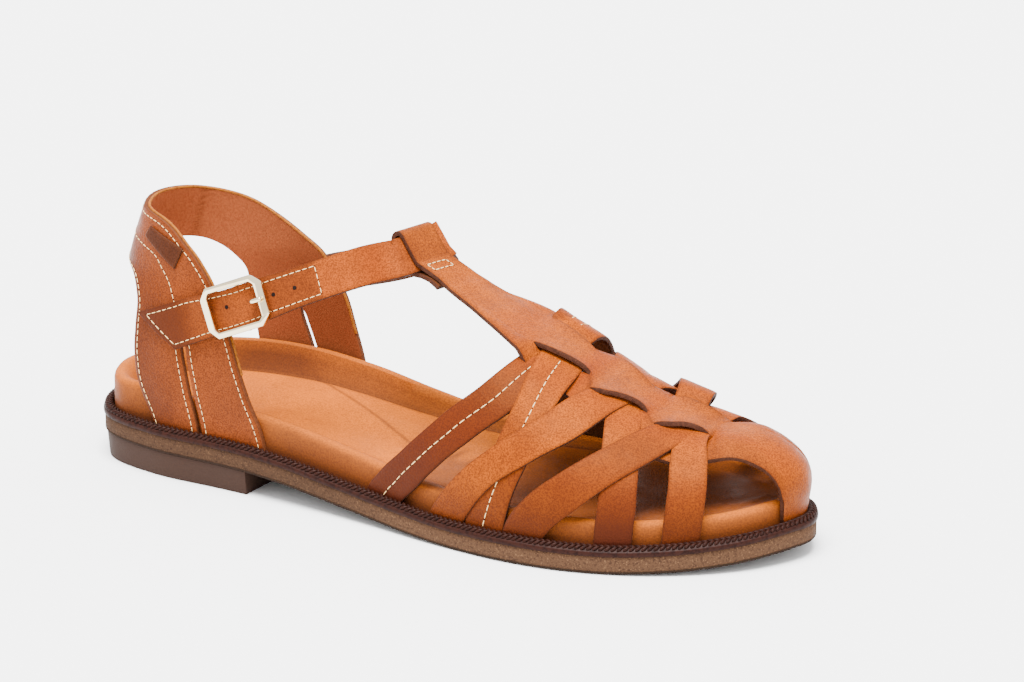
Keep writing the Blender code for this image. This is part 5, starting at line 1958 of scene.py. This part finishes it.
@dataclass
class AnkleStrap:
    """Ankle strap with its stitched, punched end and the buckle."""

    vamp: Vamp
    widths: tuple = (
        (0, 15.4), (20, 15.2), (34, 14.1), (44, 14.4), (53, 14.1), (64, 13.1), (75, 12.9), (100, 13.3))
    thread_inset: tuple = ((0, 1.6), (34, 1.65), (44, 2), (53, 2), (64, 1.6), (75, 1.6))
    wall: float = 2.0
    quarter_wall: float = 2.0
    on_outer: tuple = ((40, 48), (47, 50.8), (54, 53.9), (60, 56.7), (66, 59.5))
    on_inner: tuple = ((80, 61.4), (72, 58.2), (63, 54.8), (54, 51.4))
    free_outer: tuple = (
        (66.6, -30.7, 63.6, -0.38, 0.10, 0.92), (80, -29, 69.6, -0.42, 0.22, 0.88),
        (95, -24.6, 76, -0.50, 0.26, 0.83), (107.5, -17.8, 80.8, -0.60, 0.18, 0.78))
    free_inner: tuple = (
        (117.5, 17.4, 79.6, -0.62, -0.14, 0.78), (106, 23.6, 74.4, -0.52, -0.24, 0.82),
        (92, 27, 68.6, -0.44, -0.20, 0.88))
    in_loop: tuple = ((-12.2, 0), (-9.2, 0), (0, 0), (9.2, 1.2), (11.6, 1.6))
    tip_skew: float = 13.0
    tip_fade: float = 26.0
    holes: tuple = ((38, 1.3), (56.4, 0.2), (64.3, 0))
    hole_radius: float = 0.75
    hole_depth: float = 0.12
    thread_from: float = 3.0
    lined_to: float = 72.8
    route_samples: int = 240
    tip_grid: tuple = (30, 40)
    strap_grid: tuple = (150, 11)
    within: tuple = (95, 0, 62)
    dye: tuple = ((0, 0.95), (16, 0.9), (28, 0.4), (44, 0.25), (52, 0.55), (80, 0.5))
    buckle_length: float = 25.0
    buckle_height: float = 17.6
    buckle_shift: tuple = (0.9, 0.6)
    buckle_bar: tuple = (2.9, 2.1)
    buckle_chamfer: tuple = (3.5, 1.2)
    buckle_thick: float = 1.8
    buckle_lift: float = 3.2
    buckle_arch: float = 0.0085
    bar_drop: float = 2.3
    bar_radius: float = 0.85
    prong_radius: float = 0.8
    seam: Seam = field(default_factory=lambda: Seam("ankle_seam", pitch=2.35))
    route: Array = field(init=False)

    def __post_init__(self) -> None:
        """Lays the middle line, with its width directions, from the tip to the sewn inner end."""
        lift = self.quarter_wall + 2 * GAP + self.wall / 2
        rows: list = []

        def on_quarter(side: Side, spot: tuple, ahead: tuple) -> None:
            """Adds a place on the heel quarter.

            Args:
                side: half of the shoe.
                spot: length and height of the place.
                ahead: those of the next one.
            """
            here, there, above = (FORM.quarter_lifted(side, length, z, lift) for length, z in (
                spot, ahead, (spot[0], spot[1] + 1.0)))
            run = unit(there - here)
            rows.append([*here, *unit((above - here) - run * np.dot(above - here, run))])

        for spot, ahead in zip(self.on_outer, self.on_outer[1:]):
            on_quarter(Side.OUTER, spot, ahead)
        rows.extend(self.free_outer)
        centre, along, _, across = self.vamp.loop_axes()
        centre = centre + self.vamp.loop_strap_at * along
        for step, rise in self.in_loop:
            rows.append([*(centre + step * across - rise * along), *(-along)])
        rows.extend(self.free_inner)
        for spot, ahead in zip(self.on_inner, self.on_inner[1:]):
            on_quarter(Side.INNER, spot, ahead)
        self.route = smooth_path(rows, self.route_samples)

    def at(self, distance: Array) -> tuple[Array, Array, Array, Array]:
        """Places along the strap.

        Args:
            distance: running distances from the tip.

        Returns:
            Point, run, width direction and face direction.
        """
        line, widths = self.route[:, :3], self.route[:, 3:]
        point, slope, up = (read_along(run_length(line), values, distance)
                            for values in (line, np.gradient(line, axis=0), widths))
        along = unit(slope)
        up = unit(up - along * np.sum(up * along, -1, keepdims=True))
        return point, along, up, np.cross(along, up)

    def build(self) -> None:
        """Builds the strap, its thread and the buckle."""
        self.strap()
        place = self._buckle_place()
        self.buckle_frame(place)
        self.buckle_prong(place)
        self.seam.build("ankle_strap")

    def _lay(self, distance: Array, across: Array) -> Array:
        """Distance with the slanted tip worked in."""
        skew = self.tip_skew * np.clip(1 - distance / self.tip_fade, 0, 1)
        return distance + skew * (1 - across) / 2

    def strap(self) -> None:
        """Long strap with a slanted tip and punched holes."""
        total = run_length(self.route)[-1]
        tip = self.tip_grid[0]
        distance = np.concatenate([np.linspace(0, tip, self.tip_grid[1])[:-1],
                                   np.linspace(tip, total, self.strap_grid[0])])
        across = np.linspace(-1, 1, self.strap_grid[1])
        stations = self._lay(distance[:, None], across[None, :])
        point, _, up, _ = self.at(stations)
        half = monotone(self.widths, stations) / 2
        middle = point + up * (across * half)[..., None]
        rim = (1 - np.abs(across))[None, :] * half
        lined = fade(stations, self.lined_to - 1, self.lined_to + 1)
        # Darker along the lined part, as listed along the strap; an orange band at one place along the strap,
        # partly burnished dye and partly painted warm shade.
        marks = {"rim": np.minimum(rim, distance[:, None]), "dark": monotone(self.dye, stations) * lined,
                 "glow": 0.5 * bell(stations, 92, 5)}
        piece = grid("ankle_strap_leather", middle, marks, centre=self.within)
        thicken(piece, self.wall, offset=0.0)
        dress(piece, "ankle_strap", Finish.STRAP, Finish.EDGE, Finish.BACK)
        s = np.linspace(self.thread_from, self.lined_to, 120)
        inset = 1 - 2 * monotone(self.thread_inset, s) / monotone(self.widths, s)
        for sign in (-1, 1):
            self._thread_row(s, sign * inset)
        for end in (0, -1):
            self._thread_row(np.full(12, s[end]), np.linspace(-inset[end], inset[end], 12))
        spots = Lobes("strap_holes", long=6, around=12, blunt=1.0)
        spread = np.array(self.holes)
        point, along, up, face = self.at(spread[:, 0])
        point = point + face * (self.wall / 2) + up * spread[:, 1:]
        spots.add(point, along * self.hole_radius, up * self.hole_radius, face * self.hole_depth)
        dress(spots.build(), "ankle_strap", Finish.HOLE)

    def _thread_row(self, distance: Array, across: Array) -> None:
        """Stitches on the strap's outer face.

        Args:
            distance: running distances from the tip.
            across: places across the strap, from -1 to 1.
        """
        point, _, up, face = self.at(self._lay(distance, across))
        half = monotone(self.widths, distance) / 2
        self.seam.row(point + up * (across * half)[:, None] + face * (self.wall / 2), face)

    def _buckle_place(self) -> list:
        """Place of the buckle on the strap.

        Returns:
            Its middle and its three directions.
        """
        off = np.linalg.norm(self.route[:, :3] - np.array(self.free_outer[0][:3]), axis=1)
        spot = run_length(self.route)[int(np.argmin(off))]
        point, along, up, face = (v[0] for v in self.at(np.array([spot + self.buckle_shift[0]])))
        return [point + self.buckle_shift[1] * up, along, up, face]

    def buckle_frame(self, place: list) -> None:
        """Eight-cornered frame with polished bevels, and its centre bar.

        Args:
            place: middle and directions of the buckle.
        """
        point, along, up, face = place
        rings = []
        for share, c in zip((0.0, 1.0), self.buckle_chamfer):
            a = self.buckle_length / 2 - share * self.buckle_bar[0]
            b = self.buckle_height / 2 - share * self.buckle_bar[1]
            ring = [(a - c, b), (a, b - c), (a, c - b), (a - c, -b)]
            rings.append(np.array(ring + [(-u, -v) for u, v in ring]))
        rows = []
        for ring, height in ((rings[0], -0.5), (rings[0], 0.5), (rings[1], 0.5), (rings[1], -0.5)):
            lift = self.buckle_lift + height * self.buckle_thick - self.buckle_arch * ring[:, :1] ** 2
            rows.append(point + ring[:, :1] * along + ring[:, 1:] * up + lift * face)
        frame_piece = loft("buckle_frame_metal", rows, close=False)
        bevel(frame_piece, 0.4, 2, 40)
        smooth(frame_piece, 35)
        half = self.buckle_height / 2 - self.buckle_bar[1] / 2
        ends = [(half, self.buckle_lift - 0.6), (half, -self.bar_drop + 0.6), (half - 0.6, -self.bar_drop)]
        path = [point + up * v + face * n for v, n in ends]
        path += [point - up * v + face * n for v, n in reversed(ends)]
        bar = tube("centre_bar", smooth_path(path, 26), self.bar_radius, 12, up=along)
        dress(join("buckle_frame_metal", [frame_piece, bar]), "buckle_frame", Finish.METAL)

    def buckle_prong(self, place: list) -> None:
        """Prong from the centre bar, up through its hole and over the front bar.

        Args:
            place: middle and directions of the buckle.
        """
        point, along, up, face = place
        low, high = -self.bar_drop, self.buckle_lift + self.buckle_thick / 2 + self.prong_radius + GAP
        path = [(1.95, low), (4.6, low), (6.0, low + 0.7), (6.9, 0.4), (7.8, 2.6), (8.9, high), (11.9, high)]
        spots = smooth_path([point + along * s + face * n for s, n in path], 40)
        dress(tube("prong", spots, self.prong_radius, 12, up=up), "buckle_prong", Finish.METAL)


@dataclass
class Studio:
    """Pale floor, soft light and the camera at the photograph's angle."""

    target: tuple = (127.0, 0.0, 30.0)
    azimuth_deg: float = 30.0
    elevation_deg: float = 18.0
    distance: float = 1600.0
    scale: float = 3.0037
    centre_px: tuple = (441.4866, 408.0243)
    image_px: tuple = (1024, 682)
    sensor: float = 36.0
    floor_size: float = 30.0
    floor_gap: float = 0.0002
    floor_tone: Colour = (0.92, 0.92, 0.92)
    room: float = 2.3
    lamps: tuple = (("key", (0.05, -0.24, 1), 13.4, 40),)

    def build(self) -> None:
        """Sets up the stage."""
        self.floor()
        self.lights()
        self.camera()

    def floor(self) -> None:
        """Wide plain floor."""
        clear()
        bpy.ops.mesh.primitive_plane_add(size=self.floor_size, location=(0, 0, -self.floor_gap))
        ground = bpy.context.object
        ground.name = "floor"
        material = bpy.data.materials.new("pale_floor")
        material.use_nodes = True
        Tree(material.node_tree).put(Base_Color=self.floor_tone, Roughness=0.9, Specular_IOR_Level=0.0)
        ground.data.materials.append(material)

    def lights(self) -> None:
        """Bright room light and one wide soft lamp from above."""
        world = bpy.data.worlds.new("studio")
        bpy.context.scene.world = world
        world.use_nodes = True
        sky = world.node_tree.nodes["Background"]
        sky.inputs["Color"].default_value = (1.0, 1.0, 1.0, 1.0)
        sky.inputs["Strength"].default_value = self.room
        for name, towards, strength, spread_deg in self.lamps:
            lamp = bpy.data.lights.new(name, "SUN")
            lamp.energy, lamp.angle = strength, math.radians(spread_deg)
            holder = bpy.data.objects.new(name, lamp)
            bpy.context.scene.collection.objects.link(holder)
            back = unit(np.array(towards))
            right = unit(np.cross([0.0, 1.0, 0.0], back))
            rows = np.column_stack([right, np.cross(back, right), back, back])
            holder.matrix_world = Matrix(rows.tolist() + [[0, 0, 0, 1]])

    def camera(self) -> None:
        """Camera that frames the shoe as in the photograph."""
        az, el = math.radians(self.azimuth_deg), math.radians(self.elevation_deg)
        back = np.array([math.sin(az) * math.cos(el), -math.cos(az) * math.cos(el), math.sin(el)])
        right = np.array([math.cos(az), math.sin(az), 0.0])
        spot = (np.array(self.target) + self.distance * back - FORM.origin) * MM
        data = bpy.data.cameras.new("camera")
        width, height = self.image_px
        data.sensor_width = self.sensor
        data.lens = self.scale * self.distance * self.sensor / width
        data.shift_x = (width / 2 - self.centre_px[0]) / width
        data.shift_y = (self.centre_px[1] - height / 2) / width
        data.clip_end = 50.0
        holder = bpy.data.objects.new("camera", data)
        bpy.context.scene.collection.objects.link(holder)
        rows = np.column_stack([right, np.cross(back, right), back, spot])
        holder.matrix_world = Matrix(rows.tolist() + [[0, 0, 0, 1]])
        bpy.context.scene.camera = holder


def main() -> None:
    """Builds the sandal and its stage."""
    logging.basicConfig(level=logging.INFO, format="%(name)s: %(message)s")
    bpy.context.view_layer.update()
    vamp = Vamp()
    for assembly in (Studio(), Sole(), vamp, Quarter(), AnkleStrap(vamp)):
        LOG.info("building %s", type(assembly).__name__)
        assembly.build()
    clear()


if __name__ == "__main__":
    main()
